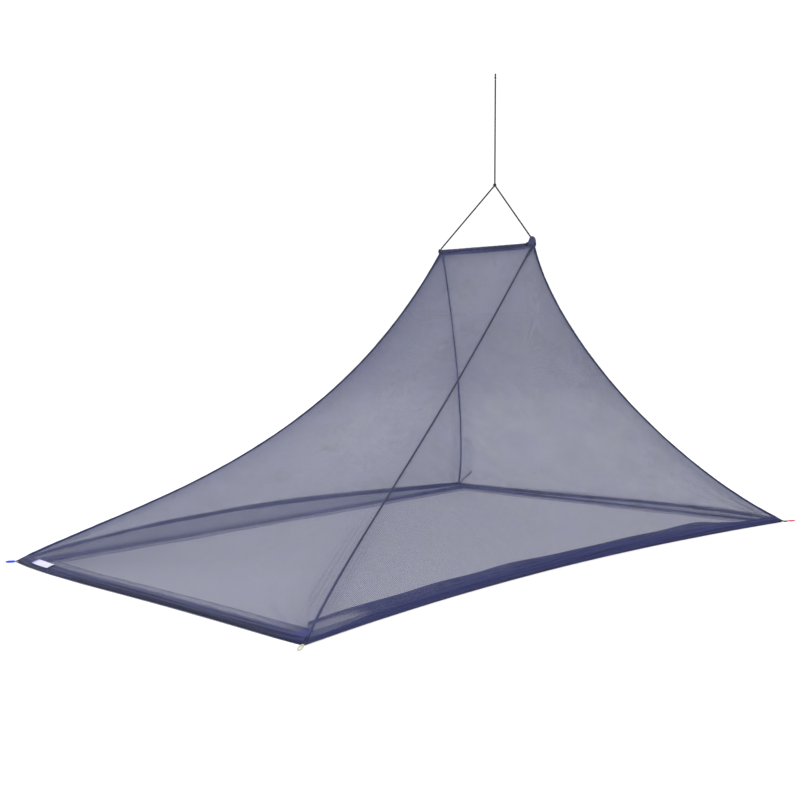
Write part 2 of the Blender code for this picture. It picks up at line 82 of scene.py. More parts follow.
def unit(vectors):
    """The same vectors, each divided by its own length."""
    vectors = np.asarray(vectors, float)
    length = np.linalg.norm(vectors, axis=-1, keepdims=True)
    return vectors / np.maximum(length, 1e-12)


def smooth(x):
    """0 up to 0 and 1 from 1 on; between them 3x squared less 2x cubed."""
    x = np.clip(x, 0.0, 1.0)
    return x * x * (3.0 - 2.0 * x)


def bump(x, middle, width):
    """A soft hill: e to the minus square of the distance over the width."""
    return np.exp(-((x - middle) / width) ** 2)


def arc_length(points, axis):
    """Distance run along one direction of a grid: the sum of its steps so far."""
    steps = np.linalg.norm(np.diff(points, axis=axis), axis=-1)
    return np.insert(np.cumsum(steps, axis=axis), 0, 0.0, axis=axis)


def grid_faces(rows, columns, around):
    """Corner numbers of every square of a grid, joined round when it is a tube."""
    index = np.arange(rows * columns).reshape(rows, columns)
    if around:
        index = np.concatenate([index, index[:, :1]], axis=1)
    return np.stack([index[:-1, :-1], index[1:, :-1],
                     index[1:, 1:], index[:-1, 1:]], axis=-1).reshape(-1, 4)


def cloth(name, points, uv, finish, slot, around=False, flip=False, **values):
    """A mesh from a grid of points; uv and values hold one entry for each point."""
    rows, columns = points.shape[:2]
    faces = grid_faces(rows, columns, around)
    if flip:
        faces = faces[:, ::-1]
    mesh = bpy.data.meshes.new(name)
    mesh.from_pydata(points.reshape(-1, 3), [], faces.tolist())
    corners = faces.ravel()
    flat = uv.reshape(rows, -1, 2)
    if around:
        row, column = np.divmod(corners, columns)
        wraps = np.tile((column.reshape(-1, 4).max(axis=1) == columns - 1)
                        & (column.reshape(-1, 4).min(axis=1) == 0), (4, 1)).T.ravel()
        column = np.where(wraps & (column == 0), columns, column)
        corner_uv = flat[row, column]
    else:
        corner_uv = flat.reshape(-1, 2)[corners]
    layer = mesh.uv_layers.new(name="ClothMetres")
    layer.data.foreach_set("uv", corner_uv.astype(np.float32).ravel())
    for label, amount in values.items():
        mesh.attributes.new(label, "FLOAT", "POINT").data.foreach_set(
            "value", np.broadcast_to(amount, (rows, columns)).astype(np.float32).ravel())
    mesh.shade_smooth()
    mesh.materials.append(finish)
    made = bpy.data.objects.new(name, mesh)
    bpy.context.scene.collection.objects.link(made)
    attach(made, "root")
    return made


# %% [markdown]
# ## Cords as tubes
# A cord is a circle carried along a path. Its ends are drawn in to a point so that the
# tube is closed. Along the path runs a UV map, once round and in metres along, and the
# braid of the material follows it. Knots are tubes too, along a path that winds
# through itself.

# %% Tube helper
def frames_along(path, closed):
    """Tangent and two square directions at each point, turned as little as can be."""
    if closed:
        tangent = unit(np.roll(path, -1, axis=0) - np.roll(path, 1, axis=0))
    else:
        tangent = unit(np.gradient(path, axis=0))
    middle = path.mean(axis=0)
    spread = np.linalg.svd(path - middle, full_matrices=False)[2]
    side = unit(np.cross(tangent, spread[2]))
    return tangent, side, np.cross(side, tangent)


def tube(name, path, radius, finish, slot, sides=12, closed=False, flat=1.0,
         relief=None, paint=None):
    """A circle (or an oval, flat times as high as wide) carried along a path."""
    path = np.asarray(path, float)
    tangent, side, lift = frames_along(path, closed)
    around = np.linspace(0.0, TURN, sides, endpoint=False)
    radii = np.broadcast_to(radius, len(path)).copy()
    run = arc_length(path, 0)
    if not closed:
        ends = np.array([[0.0], [0.55], [0.87], [1.0]])
        reach = radii[[0, -1]]
        back = 1.0 - np.sqrt(1.0 - ends[:, 0] ** 2)
        first = path[0] + tangent[0] * reach[0] * back[:, None]
        last = path[-1] - tangent[-1] * reach[1] * back[::-1, None]
        inner = (run > reach[0] * 1.2) & (run < run[-1] - reach[1] * 1.2)
        shrink = np.concatenate([ends[:, 0], np.ones(inner.sum()), ends[::-1, 0]])
        path, old = np.vstack([first, path[inner], last]), run
        run = arc_length(path, 0)
        total = run[-1] if run[-1] > 0 else 1.0
        tangent = unit(np.stack([np.interp(run / total, old / old[-1], tangent[:, k])
                                 for k in range(3)], axis=1))
        side = unit(np.stack([np.interp(run / total, old / old[-1], side[:, k])
                              for k in range(3)], axis=1))
        lift = np.cross(side, tangent)
        radii = np.interp(run / total, old / old[-1], radii) * shrink
    grow = np.ones((len(path), sides))
    if relief is not None:
        grow = grow + relief(run[:, None], around[None, :])
    ring = (side[:, None] * np.cos(around)[None, :, None]
            + lift[:, None] * (flat * np.sin(around))[None, :, None])
    points = path[:, None] + ring * (radii[:, None] * grow)[..., None]
    share = np.linspace(0.0, 1.0, sides + 1)
    uv = np.stack(np.broadcast_arrays(share[None, :], run[:, None]), axis=-1)
    if closed:
        points = np.concatenate([points, points[:1]])
        ahead = np.linalg.norm(path[0] - path[-1])
        uv = np.concatenate([uv, uv[:1] + (0.0, run[-1] + ahead)])
    values = {label: make(uv[:, :1, 1], around[None, :])
              for label, make in (paint or {}).items()}
    made = cloth(name, points, uv, finish, slot, around=True, **values)
    weld = made.modifiers.new("ClosedEnds", "WELD")
    weld.merge_threshold = 0.00001
    return made


# %% [markdown]
# ## Shared effects
# Three effects recur in the materials: the knit of the net, the braid of the cords and
# the weave of the tapes. Each is a node group, made once, that puts out a mask or a
# height. The shaders stay in the materials.

# %% Node helpers
def new_group(name, inputs, outputs):
    """An empty node group with named float inputs (and their values) and outputs."""
    group = bpy.data.node_groups.new(name, "ShaderNodeTree")
    for label, value in inputs.items():
        kind = "NodeSocketVector" if value is None else "NodeSocketFloat"
        socket = group.interface.new_socket(label, in_out="INPUT", socket_type=kind)
        if value is not None:
            socket.default_value = value
    for label, kind in outputs.items():
        group.interface.new_socket(label, in_out="OUTPUT", socket_type=kind)
    start = group.nodes.new("NodeGroupInput")
    end = group.nodes.new("NodeGroupOutput")
    return group, start, end


def calc(tree, operation, *values, clamp=False):
    """One Math node; a value is a number or another node's output."""
    node = tree.nodes.new("ShaderNodeMath")
    node.operation = operation
    node.use_clamp = clamp
    for place, value in enumerate(values):
        if isinstance(value, (int, float)):
            node.inputs[place].default_value = value
        else:
            tree.links.new(value, node.inputs[place])
    return node.outputs[0]


def remap(tree, value, from_low, from_high, to_low=0.0, to_high=1.0):
    """One Map Range node with a smooth step."""
    node = tree.nodes.new("ShaderNodeMapRange")
    node.interpolation_type = "SMOOTHSTEP"
    limits = (from_low, from_high, to_low, to_high)
    for label, limit in zip(("From Min", "From Max", "To Min", "To Max"), limits):
        node.inputs[label].default_value = limit
    tree.links.new(value, node.inputs["Value"])
    return node.outputs["Result"]


def separate(tree, vector):
    """The x and y of a vector."""
    node = tree.nodes.new("ShaderNodeSeparateXYZ")
    tree.links.new(vector, node.inputs[0])
    return node.outputs[0], node.outputs[1]


def clouds(tree, vector, scale, detail=2.0, roughness=0.5):
    """Soft noise from 0 to 1 at a scale in turns a metre."""
    node = tree.nodes.new("ShaderNodeTexNoise")
    node.inputs["Scale"].default_value = scale
    node.inputs["Detail"].default_value = detail
    node.inputs["Roughness"].default_value = roughness
    tree.links.new(vector, node.inputs["Vector"])
    return node.outputs["Fac"]


def attribute(tree, label):
    """The float attribute of this name."""
    node = tree.nodes.new("ShaderNodeAttribute")
    node.attribute_name = label
    return node.outputs["Fac"]


def cloth_uv(tree):
    """The UV map in metres that every new piece carries."""
    node = tree.nodes.new("ShaderNodeUVMap")
    node.uv_map = "ClothMetres"
    return node.outputs["UV"]


# %% Knit, braid and weave groups
def knit_group():
    """Two slanting sets of threads: the higher of two sine waves, cut to lines."""
    group, start, end = new_group("KnittedMesh", {"Cloth": None, "Pitch": 0.0026},
                                  {"Thread": "NodeSocketFloat"})
    across, down = separate(group, start.outputs["Cloth"])
    turns = calc(group, "DIVIDE", TURN, start.outputs["Pitch"])
    one_way = calc(group, "SINE", calc(group, "MULTIPLY",
                                       calc(group, "ADD", across, down), turns))
    other_way = calc(group, "SINE", calc(group, "MULTIPLY",
                                         calc(group, "SUBTRACT", across, down), turns))
    higher = calc(group, "MAXIMUM", one_way, other_way)
    thread = remap(group, higher, 0.30, 0.85)
    group.links.new(thread, end.inputs["Thread"])
    return group


def braid_group():
    """Crossing helices round a cord: the product of two slanted sine waves."""
    group, start, end = new_group(
        "BraidedCord", {"Cloth": None, "Strands": 4.0, "Lay": 0.008},
        {"Height": "NodeSocketFloat", "Fleck": "NodeSocketFloat"})
    share, along = separate(group, start.outputs["Cloth"])
    turns = calc(group, "MULTIPLY", calc(group, "MULTIPLY", share,
                                         start.outputs["Strands"]), TURN)
    run = calc(group, "MULTIPLY", calc(group, "DIVIDE", along,
                                       start.outputs["Lay"]), TURN)
    left = calc(group, "SINE", calc(group, "ADD", turns, run))
    right = calc(group, "SINE", calc(group, "SUBTRACT", turns, run))
    height = calc(group, "MAXIMUM", left, right)
    group.links.new(remap(group, height, -0.4, 1.0), end.inputs["Height"])
    fleck = calc(group, "MULTIPLY", left, right)
    group.links.new(remap(group, fleck, -0.5, 0.9), end.inputs["Fleck"])
    return group


def weave_group():
    """Plain weave: one wave across times another down, raised where both are high."""
    group, start, end = new_group("PlainWeave", {"Cloth": None, "Pitch": 0.0012},
                                  {"Height": "NodeSocketFloat"})
    across, down = separate(group, start.outputs["Cloth"])
    turns = calc(group, "DIVIDE", TURN, start.outputs["Pitch"])
    warp = calc(group, "SINE", calc(group, "MULTIPLY", across, turns))
    weft = calc(group, "SINE", calc(group, "MULTIPLY", down, turns))
    product = calc(group, "MULTIPLY", warp, weft)
    group.links.new(remap(group, product, -0.8, 0.8), end.inputs["Height"])
    return group


KNIT = knit_group()
BRAID = braid_group()
WEAVE = weave_group()


def use_group(tree, group, **values):
    """Place a group in a material, with its own values and the cloth's UV."""
    node = tree.nodes.new("ShaderNodeGroup")
    node.node_tree = group
    tree.links.new(cloth_uv(tree), node.inputs["Cloth"])
    for label, value in values.items():
        node.inputs[label].default_value = value
    return node


def blend_colors(tree, share, first, second):
    """Two colours mixed by a mask; a colour is three numbers or an output."""
    node = tree.nodes.new("ShaderNodeMix")
    node.data_type = "RGBA"
    tree.links.new(share, node.inputs["Factor"])
    for label, color in (("A", first), ("B", second)):
        socket = [s for s in node.inputs if s.name == label and s.type == "RGBA"][0]
        if isinstance(color, tuple):
            socket.default_value = (*color, 1.0)
        else:
            tree.links.new(color, socket)
    return [s for s in node.outputs if s.type == "RGBA"][0]


def raised(tree, height, distance, strength=1.0, under=None):
    """A Bump node over a height, on top of another normal if one is given."""
    node = tree.nodes.new("ShaderNodeBump")
    node.inputs["Strength"].default_value = strength
    node.inputs["Distance"].default_value = distance
    tree.links.new(height, node.inputs["Height"])
    if under is not None:
        tree.links.new(under, node.inputs["Normal"])
    return node.outputs["Normal"]


def new_material(name):
    """A material with its tree and its Principled shader."""
    made = bpy.data.materials.new(name)
    made.use_nodes = True
    return made, made.node_tree, made.node_tree.nodes["Principled BSDF"]


# %% [markdown]
# ## The net's material
# Real netting is mostly holes. Up close its threads show; from a few metres it is a
# veil. So the alpha mixes both: a steady cover, and threads that rise above it. Where
# the cloth is doubled or gathered, the attribute called cover makes it denser. A pale
# violet sheen stands for the light that the round filaments catch.

# %% Net material
def net_material(name, color, pale, cover, thread_cover, sheen):
    """Alpha = cover + thread * thread_cover, pushed towards 1 by the cover attribute. The pale,
    shade and blue attributes paint highlight, shade and a bluer highlight into the colour.
    """
    made, tree, shader = new_material(name)
    thread = use_group(tree, KNIT, Pitch=0.0026).outputs["Thread"]
    dense = attribute(tree, "cover")
    streaks = clouds(tree, cloth_uv(tree), 7.0, 3.0, 0.6)
    tone = blend_colors(tree, remap(tree, streaks, 0.3, 0.7), color, pale)
    deep = tuple(0.50 * c for c in color)
    tone = blend_colors(tree, calc(tree, "MULTIPLY", dense, 0.6, clamp=True), tone, deep)
    # Painted light: pale is a painted highlight and shade is painted shade, which also carries
    # the hem's dark stitch line. Blue is a bluer tone, mostly painted highlight on crease crests.
    tone = blend_colors(tree, attribute(tree, "pale"), tone, (0.075, 0.085, 0.175))
    tone = blend_colors(tree, attribute(tree, "shade"), tone, (0.008, 0.009, 0.022))
    tone = blend_colors(tree, attribute(tree, "blue"), tone, (0.008, 0.014, 0.135))
    tree.links.new(tone, shader.inputs["Base Color"])
    base = calc(tree, "MULTIPLY_ADD", thread, thread_cover, cover)
    uneven = calc(tree, "MULTIPLY_ADD", streaks, 0.10, -0.05)
    base = calc(tree, "ADD", base, uneven, clamp=True)
    hole = calc(tree, "SUBTRACT", 1.0, base)
    still_open = calc(tree, "SUBTRACT", 1.0, dense, clamp=True)
    alpha = calc(tree, "SUBTRACT", 1.0, calc(tree, "MULTIPLY", hole, still_open),
                 clamp=True)
    tree.links.new(alpha, shader.inputs["Alpha"])
    rough = remap(tree, thread, 0.0, 1.0, 0.82, 0.66)
    tree.links.new(rough, shader.inputs["Roughness"])
    tree.links.new(raised(tree, thread, 0.0004, 0.6), shader.inputs["Normal"])
    shader.inputs["Sheen Weight"].default_value = sheen
    shader.inputs["Sheen Roughness"].default_value = 0.40
    shader.inputs["Sheen Tint"].default_value = (0.42, 0.45, 1.0, 1.0)
    shader.inputs["Specular IOR Level"].default_value = 0.25
    return made


NET = net_material("navy_net", (0.030, 0.037, 0.105), (0.052, 0.058, 0.145),
                   0.37, 0.40, 0.16)
SKIRT = net_material("skirt_net", (0.022, 0.028, 0.090), (0.040, 0.046, 0.130),
                     0.07, 0.18, 0.12)


# %% [markdown]
# ## Tape, sleeve, cord, tag and rod
# Tape is a close plain weave with a row of stitches along it. The sleeve is soft cloth
# with a painted blue highlight on the crests of its creases. Cord is braided, so its height
# and colour follow two crossing spirals, and shade is painted into the grooves between
# strands. The tag is smooth white cloth, and the rod a dull dark composite.

# %% Tape and sleeve materials
def tape_material():
    """Weave and stitches: a stitch is a soft dash repeated every few millimetres."""
    made, tree, shader = new_material("seam_tape_navy")
    weave = use_group(tree, WEAVE, Pitch=0.0011).outputs["Height"]
    share, along = separate(tree, cloth_uv(tree))
    step = calc(tree, "FRACT", calc(tree, "DIVIDE", along, 0.0042))
    dash = calc(tree, "MULTIPLY", remap(tree, step, 0.10, 0.22),
                remap(tree, step, 0.90, 0.78))
    row = calc(tree, "ABSOLUTE", calc(tree, "SUBTRACT",
                                      calc(tree, "FRACT", calc(tree, "MULTIPLY", share, 2.0)),
                                      0.5))
    stitch = calc(tree, "MULTIPLY", dash, remap(tree, row, 0.09, 0.04))
    patches = clouds(tree, cloth_uv(tree), 30.0, 3.0)
    tone = blend_colors(tree, remap(tree, patches, 0.3, 0.75),
                        (0.006, 0.007, 0.020), (0.013, 0.016, 0.050))
    tone = blend_colors(tree, stitch, tone, (0.030, 0.036, 0.10))
    low = attribute(tree, "low")
    tone = blend_colors(tree, low, tone, (0.014, 0.020, 0.085))
    tree.links.new(tone, shader.inputs["Base Color"])
    tree.links.new(remap(tree, weave, 0.0, 1.0, 0.86, 0.70), shader.inputs["Roughness"])
    normal = raised(tree, weave, 0.0002, 0.5)
    tree.links.new(raised(tree, stitch, 0.0006, 0.8, normal), shader.inputs["Normal"])
    shader.inputs["Sheen Weight"].default_value = 0.04
    shader.inputs["Sheen Tint"].default_value = (0.4, 0.45, 1.0, 1.0)
    return made


def sleeve_material():
    """Dark cloth with a painted violet highlight on its crests, a painted sheen on its gathered
    end and painted near-black shade where it is pinched.
    """
    made, tree, shader = new_material("sleeve_cloth_navy")
    weave = use_group(tree, WEAVE, Pitch=0.0010).outputs["Height"]
    # Painted light: the crests get a violet highlight, the gathered end a lighter painted sheen,
    # and the pinch under the near lashing near-black painted shade.
    crest = attribute(tree, "crest")
    lump = attribute(tree, "lump")
    mottle = clouds(tree, cloth_uv(tree), 170.0, 4.0, 0.7)
    crest = calc(tree, "MULTIPLY", crest, remap(tree, mottle, 0.30, 0.62, 0.15, 1.0))
    tone = blend_colors(tree, crest, (0.012, 0.013, 0.042), (0.040, 0.040, 0.150))
    tone = blend_colors(tree, lump, tone, (0.024, 0.030, 0.105))
    tone = blend_colors(tree, attribute(tree, "hollow"), tone, (0.003, 0.003, 0.008))
    tree.links.new(tone, shader.inputs["Base Color"])
    tree.links.new(remap(tree, mottle, 0.2, 0.8, 0.62, 0.85), shader.inputs["Roughness"])
    tree.links.new(raised(tree, weave, 0.0002, 0.5), shader.inputs["Normal"])
    shader.inputs["Sheen Weight"].default_value = 0.08
    shader.inputs["Sheen Tint"].default_value = (0.5, 0.5, 1.0, 1.0)
    return made


# %% Cord, tag and rod materials
def cord_material(name, color, second, strands=4.0, lay=0.007, sheen=0.1):
    """Braided cord: crossing spirals raise the strands and mix two tones, and shade is painted
    into the grooves between strands.
    """
    made, tree, shader = new_material(name)
    braid = use_group(tree, BRAID, Strands=strands, Lay=lay)
    height = braid.outputs["Height"]
    worn = clouds(tree, cloth_uv(tree), 90.0, 3.0, 0.6)
    tone = blend_colors(tree, braid.outputs["Fleck"], color, second)
    # Painted shade: the colour is darker where the braid is low, in the grooves between strands.
    dark = tuple(0.45 * c for c in color)
    tone = blend_colors(tree, remap(tree, height, 0.0, 0.7, 0.75, 0.0), tone, dark)
    tone = blend_colors(tree, remap(tree, worn, 0.55, 0.8, 0.0, 0.35), tone, second)
    tree.links.new(tone, shader.inputs["Base Color"])
    tree.links.new(remap(tree, worn, 0.2, 0.8, 0.68, 0.86), shader.inputs["Roughness"])
    tree.links.new(raised(tree, height, 0.0006, 0.9), shader.inputs["Normal"])
    shader.inputs["Sheen Weight"].default_value = sheen
    return made


def tag_material():
    """White woven cloth, darker violet towards one end and along its rim."""
    made, tree, shader = new_material("tag_white_cloth")
    weave = use_group(tree, WEAVE, Pitch=0.0007).outputs["Height"]
    stain = clouds(tree, cloth_uv(tree), 45.0, 3.0)
    tone = blend_colors(tree, remap(tree, stain, 0.35, 0.8),
                        (0.60, 0.60, 0.72), (0.48, 0.48, 0.64))
    edge = attribute(tree, "edge")
    tone = blend_colors(tree, edge, tone, (0.26, 0.27, 0.60))
    tree.links.new(tone, shader.inputs["Base Color"])
    tree.links.new(remap(tree, weave, 0.0, 1.0, 0.62, 0.50), shader.inputs["Roughness"])
    tree.links.new(raised(tree, weave, 0.00015, 0.4), shader.inputs["Normal"])
    return made


def rod_material():
    """Dull composite: long fibres along the rod."""
    made, tree, shader = new_material("rod_dark_composite")
    place = tree.nodes.new("ShaderNodeTexCoord").outputs["Object"]
    stretch = tree.nodes.new("ShaderNodeMapping")
    stretch.inputs["Scale"].default_value = (900.0, 20.0, 900.0)
    tree.links.new(place, stretch.inputs["Vector"])
    fibres = clouds(tree, stretch.outputs["Vector"], 1.0, 3.0)
    tone = blend_colors(tree, fibres, (0.020, 0.020, 0.022), (0.055, 0.055, 0.060))
    tree.links.new(tone, shader.inputs["Base Color"])
    tree.links.new(remap(tree, fibres, 0.3, 0.7, 0.38, 0.55), shader.inputs["Roughness"])
    tree.links.new(raised(tree, fibres, 0.0002, 0.3), shader.inputs["Normal"])
    return made


TAPE = tape_material()
SLEEVE = sleeve_material()
GREY_CORD = cord_material("cord_grey_braid", (0.006, 0.007, 0.008), (0.022, 0.025, 0.027),
                          sheen=0.02)
BLUE_CORD = cord_material("cord_blue_braid", (0.002, 0.060, 0.80), (0.010, 0.14, 0.92),
                          3.0, 0.005, 0.0)
CREAM_CORD = cord_material("cord_cream_braid", (0.52, 0.50, 0.38), (0.70, 0.68, 0.56),
                           3.0, 0.005, 0.0)
RED_CORD = cord_material("cord_red_braid", (0.70, 0.015, 0.06), (0.85, 0.060, 0.13),
                         3.0, 0.005, 0.0)
DARK_CORD = cord_material("cord_dark_braid", (0.018, 0.028, 0.021), (0.050, 0.064, 0.052),
                          3.0, 0.005, 0.02)
TAG = tag_material()
ROD = rod_material()
print("materials:", len(bpy.data.materials))

# %% [markdown]
# ## The hanging cord and its bridle
# One braided cord comes down from a hook. At a knot it meets the bridle, whose two legs
# go to the ends of the rod. The cord is taut, so its path is straight, and the knots
# are short paths that wind through themselves, as a drawn-up overhand knot does.

# %% Cords above the ridge
RIDGE_X = 0.3775
CORD_RADIUS = 0.0028
THIN_CORD_RADIUS = 0.0015
BRIDLE_KNOT = np.array([RIDGE_X, -0.0405, 1.2640])
HANG_KNOT = np.array([RIDGE_X, -0.0405, 1.6494])
BRIDLE_FEET = {"far": np.array([RIDGE_X, 0.2158, 1.0398]),
               "near": np.array([RIDGE_X, -0.2050, 1.0698])}
BRIDLE_KNOT_HALF_SIZE = (0.0042, 0.0036, 0.0054)
BRIDLE_KNOT_CORD = 0.0022
HANG_KNOT_HALF_SIZE = (0.0022, 0.0020, 0.0034)
HANG_KNOT_CORD = 0.0016
HANG_LOOP_RISE = 0.0095
HANG_LOOP_HALF_WIDTH = 0.0018
HANG_LOOP_HALF_HEIGHT = 0.0054


def straight(start, end, spacing=0.006):
    """Even points on the line between two places."""
    count = max(6, int(np.linalg.norm(end - start) / spacing) + 1)
    return start + (end - start) * np.linspace(0.0, 1.0, count)[:, None]


def knot_path(place, half_size, points=90):
    """A trefoil: two turns round while the distance swells three times."""
    t = np.linspace(0.0, TURN, points, endpoint=False)
    swell = 0.62 + 0.38 * np.cos(3.0 * t)
    shape = np.stack([swell * np.cos(2.0 * t), np.sin(3.0 * t), swell * np.sin(2.0 * t)],
                     axis=1)
    return place + shape * np.asarray(half_size)


def dress_hanging():
    """The cord, its two knots, the small end loop and the bridle's legs."""
    knot = tube("bridle_knot_tied", knot_path(BRIDLE_KNOT, BRIDLE_KNOT_HALF_SIZE),
                BRIDLE_KNOT_CORD, GREY_CORD, "grey_cord", sides=10, closed=True)
    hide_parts("bridle_knot")
    top = tube("hang_knot_tied", knot_path(HANG_KNOT, HANG_KNOT_HALF_SIZE),
               HANG_KNOT_CORD, GREY_CORD, "grey_cord", sides=10, closed=True)
    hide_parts("hang_knot")
    t = np.linspace(-0.42, 0.42, 28) * TURN
    middle = HANG_KNOT + (0.0, 0.0, HANG_LOOP_RISE)
    loop = np.stack([np.zeros(28), HANG_LOOP_HALF_WIDTH * np.sin(t),
                     HANG_LOOP_HALF_HEIGHT * np.cos(t)], axis=1)
    end_loop = tube("hang_end_loop", middle + loop, THIN_CORD_RADIUS, GREY_CORD,
                    "grey_cord", sides=8)
    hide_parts("hang_loop")
    start = BRIDLE_KNOT + (0.0, 0.0, 0.0060)
    end = HANG_KNOT - (0.0, 0.0, 0.0040)
    path = straight(start, end)
    cord = tube("hanging_cord", path, CORD_RADIUS, GREY_CORD, "grey_cord")
    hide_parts("hang_cord")
    for side, foot in BRIDLE_FEET.items():
        away = unit(foot - BRIDLE_KNOT)
        leg = tube("bridle_leg_" + side + "_cord",
                   straight(BRIDLE_KNOT + away * 0.0055, foot), CORD_RADIUS,
                   GREY_CORD, "grey_cord")
        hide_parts("bridle_leg_" + side)


dress_hanging()

# %% [markdown]
# ## Stake loops and the long line
# Each corner is pegged by a small loop of coloured cord sewn to its tip. The loops lie
# on the ground, out of the corner and back. The far corner behind has a longer dark
# line, which lies in a slight wave to a knot and a loop at its own end.

# %% Corner cords
CORNERS = {
    "foot_far": np.array([-1.1515, 0.7180]),
    "foot_near": np.array([-1.2385, -0.7140]),
    "head_near": np.array([1.2385, -0.7780]),
    "head_far": np.array([1.1705, 0.7780]),
}
LOOP_CORD_RADIUS = 0.0019
STAKE_LINE_RADIUS = 0.0021
GROUND_CORD = LOOP_CORD_RADIUS + 0.0002
GROUND_LINE = STAKE_LINE_RADIUS + 0.0002
CORNER_SEAT = -0.0005
LOOP_LEAN = 0.0013
STUB_RADIUS = 0.0029
STUB_HEIGHT = 0.0023
STUB_LENGTH = 0.018
STAKE_LINE_WANDER = 0.006
STAKE_LINE_END = np.array([1.5735, 1.0294])


def loop_path(corner, start, length, half_width):
    """Out and back as a drop that leans: one strand lies, the other stands a little."""
    away = unit(CORNERS[corner])
    aside = np.array([-away[1], away[0]])
    t = np.linspace(0.04, 0.96, 44) * TURN
    reach = start + 0.5 * length * (1.0 - np.cos(t))
    width = half_width * np.sin(t) * (0.78 - 0.22 * np.cos(t))
    plan = CORNERS[corner] + away * reach[:, None] + aside * width[:, None]
    return np.column_stack([plan, GROUND_CORD + LOOP_LEAN * (1.0 - np.sin(t))])


def dress_loop(corner, finish, slot, start, length, half_width):
    """One stake loop, a cord that goes back into the corner."""
    path = loop_path(corner, start, length, half_width)
    loop = tube("stake_loop_" + corner + "_cord", path, LOOP_CORD_RADIUS, finish, slot,
                sides=10)
    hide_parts("stake_loop_" + corner)


def stake_line_path():
    """A straight run plus a sideways wander: a sine wave that dies at both ends."""
    start = CORNERS["head_far"]
    away = unit(STAKE_LINE_END - start)
    aside = np.array([-away[1], away[0]])
    s = np.linspace(0.0, 1.0, 120)
    wander = STAKE_LINE_WANDER * np.sin(1.5 * math.pi * s) * np.sin(math.pi * s)
    plan = (start + away * CORNER_SEAT + (STAKE_LINE_END - start) * s[:, None]
            + aside * wander[:, None])
    return np.column_stack([plan, np.full(len(s), GROUND_LINE)])


def dress_corner_cords():
    """The three loops, the stub under the red one, and the long line."""
    seat = CORNER_SEAT + THIN_CORD_RADIUS
    dress_loop("foot_far", BLUE_CORD, "blue_cord", seat, 0.030, 0.0040)
    dress_loop("foot_near", CREAM_CORD, "cream_cord", seat, 0.048, 0.0045)
    away = unit(CORNERS["head_near"])
    ends = [np.append(CORNERS["head_near"] + away * reach, STUB_HEIGHT)
            for reach in (CORNER_SEAT, STUB_LENGTH)]
    stub = tube("stake_stub_cord", straight(*ends, spacing=0.002), STUB_RADIUS, DARK_CORD,
                "dark_cord", sides=10)
    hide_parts("stake_stub_head_near")
    dress_loop("head_near", RED_CORD, "red_cord", STUB_LENGTH + seat, 0.030, 0.0040)
    path = stake_line_path()
    line = tube("stake_line_cord", path, STAKE_LINE_RADIUS, DARK_CORD, "dark_cord",
                sides=10)
    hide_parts("stake_line_head_far")
    away = unit(path[-1] - path[-2])
    place = path[-1] + away * 0.0043
    place[2] = 0.0040
    knot = tube("stake_line_knot_tied", knot_path(place, (0.0026, 0.0026, 0.0024)),
                0.0013, DARK_CORD, "dark_cord", sides=8, closed=True)
    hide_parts("stake_line_knot")
    aside = np.array([-away[1], away[0], 0.0])
    t = np.linspace(0.05, 0.95, 32) * TURN
    loop = (place + away * (0.0041 + 0.0090 * (1.0 - np.cos(t)))[:, None]
            + aside * (0.0050 * np.sin(t))[:, None])
    loop[:, 2] = THIN_CORD_RADIUS + 0.0002
    end_loop = tube("stake_line_end_loop", loop, THIN_CORD_RADIUS, DARK_CORD, "dark_cord",
                    sides=8)
    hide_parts("stake_line_loop")


dress_corner_cords()

# %% [markdown]
# ## Where the seams run
# Four seams fall from the two ends of the ridge to the four corners. A taut seam hangs
# in a smooth hollow curve, so each is one cubic curve: two ends and two handles. The
# panels hang between these seams, so the seams come before the panels.

# %% Seam curves
RIDGE_ENDS = {
    "far": np.array([0.3798, 0.2125, 1.0365]),
    "near": np.array([0.3751, -0.2180, 1.0510]),
}
SEAM_SHAPES = {
    "foot": {"out": 0.349, "down": 0.705, "side_top": 0.188,
             "back": 0.257, "up": 0.180, "side_foot": 0.085},
    "head": {"out": 0.095, "down": 0.328, "side_top": 0.050,
             "back": 0.416, "up": 0.201, "side_foot": 0.060},
}
SLEEVE_RADIUS = 0.0125
SLEEVE_AXIS_DROP = 0.0055
BINDING_RADIUS = 0.0035
SEAM_FOOT_HEIGHT = 0.0050
TIP_INSET = 0.006
GAP = 0.0003


def sleeve_axis_height(y):
    """Height of the rod's axis: a straight line between the ridge's ends."""
    far, near = RIDGE_ENDS["far"], RIDGE_ENDS["near"]
    share = (np.asarray(y) - far[1]) / (near[1] - far[1])
    return far[2] + (near[2] - far[2]) * share - SLEEVE_AXIS_DROP


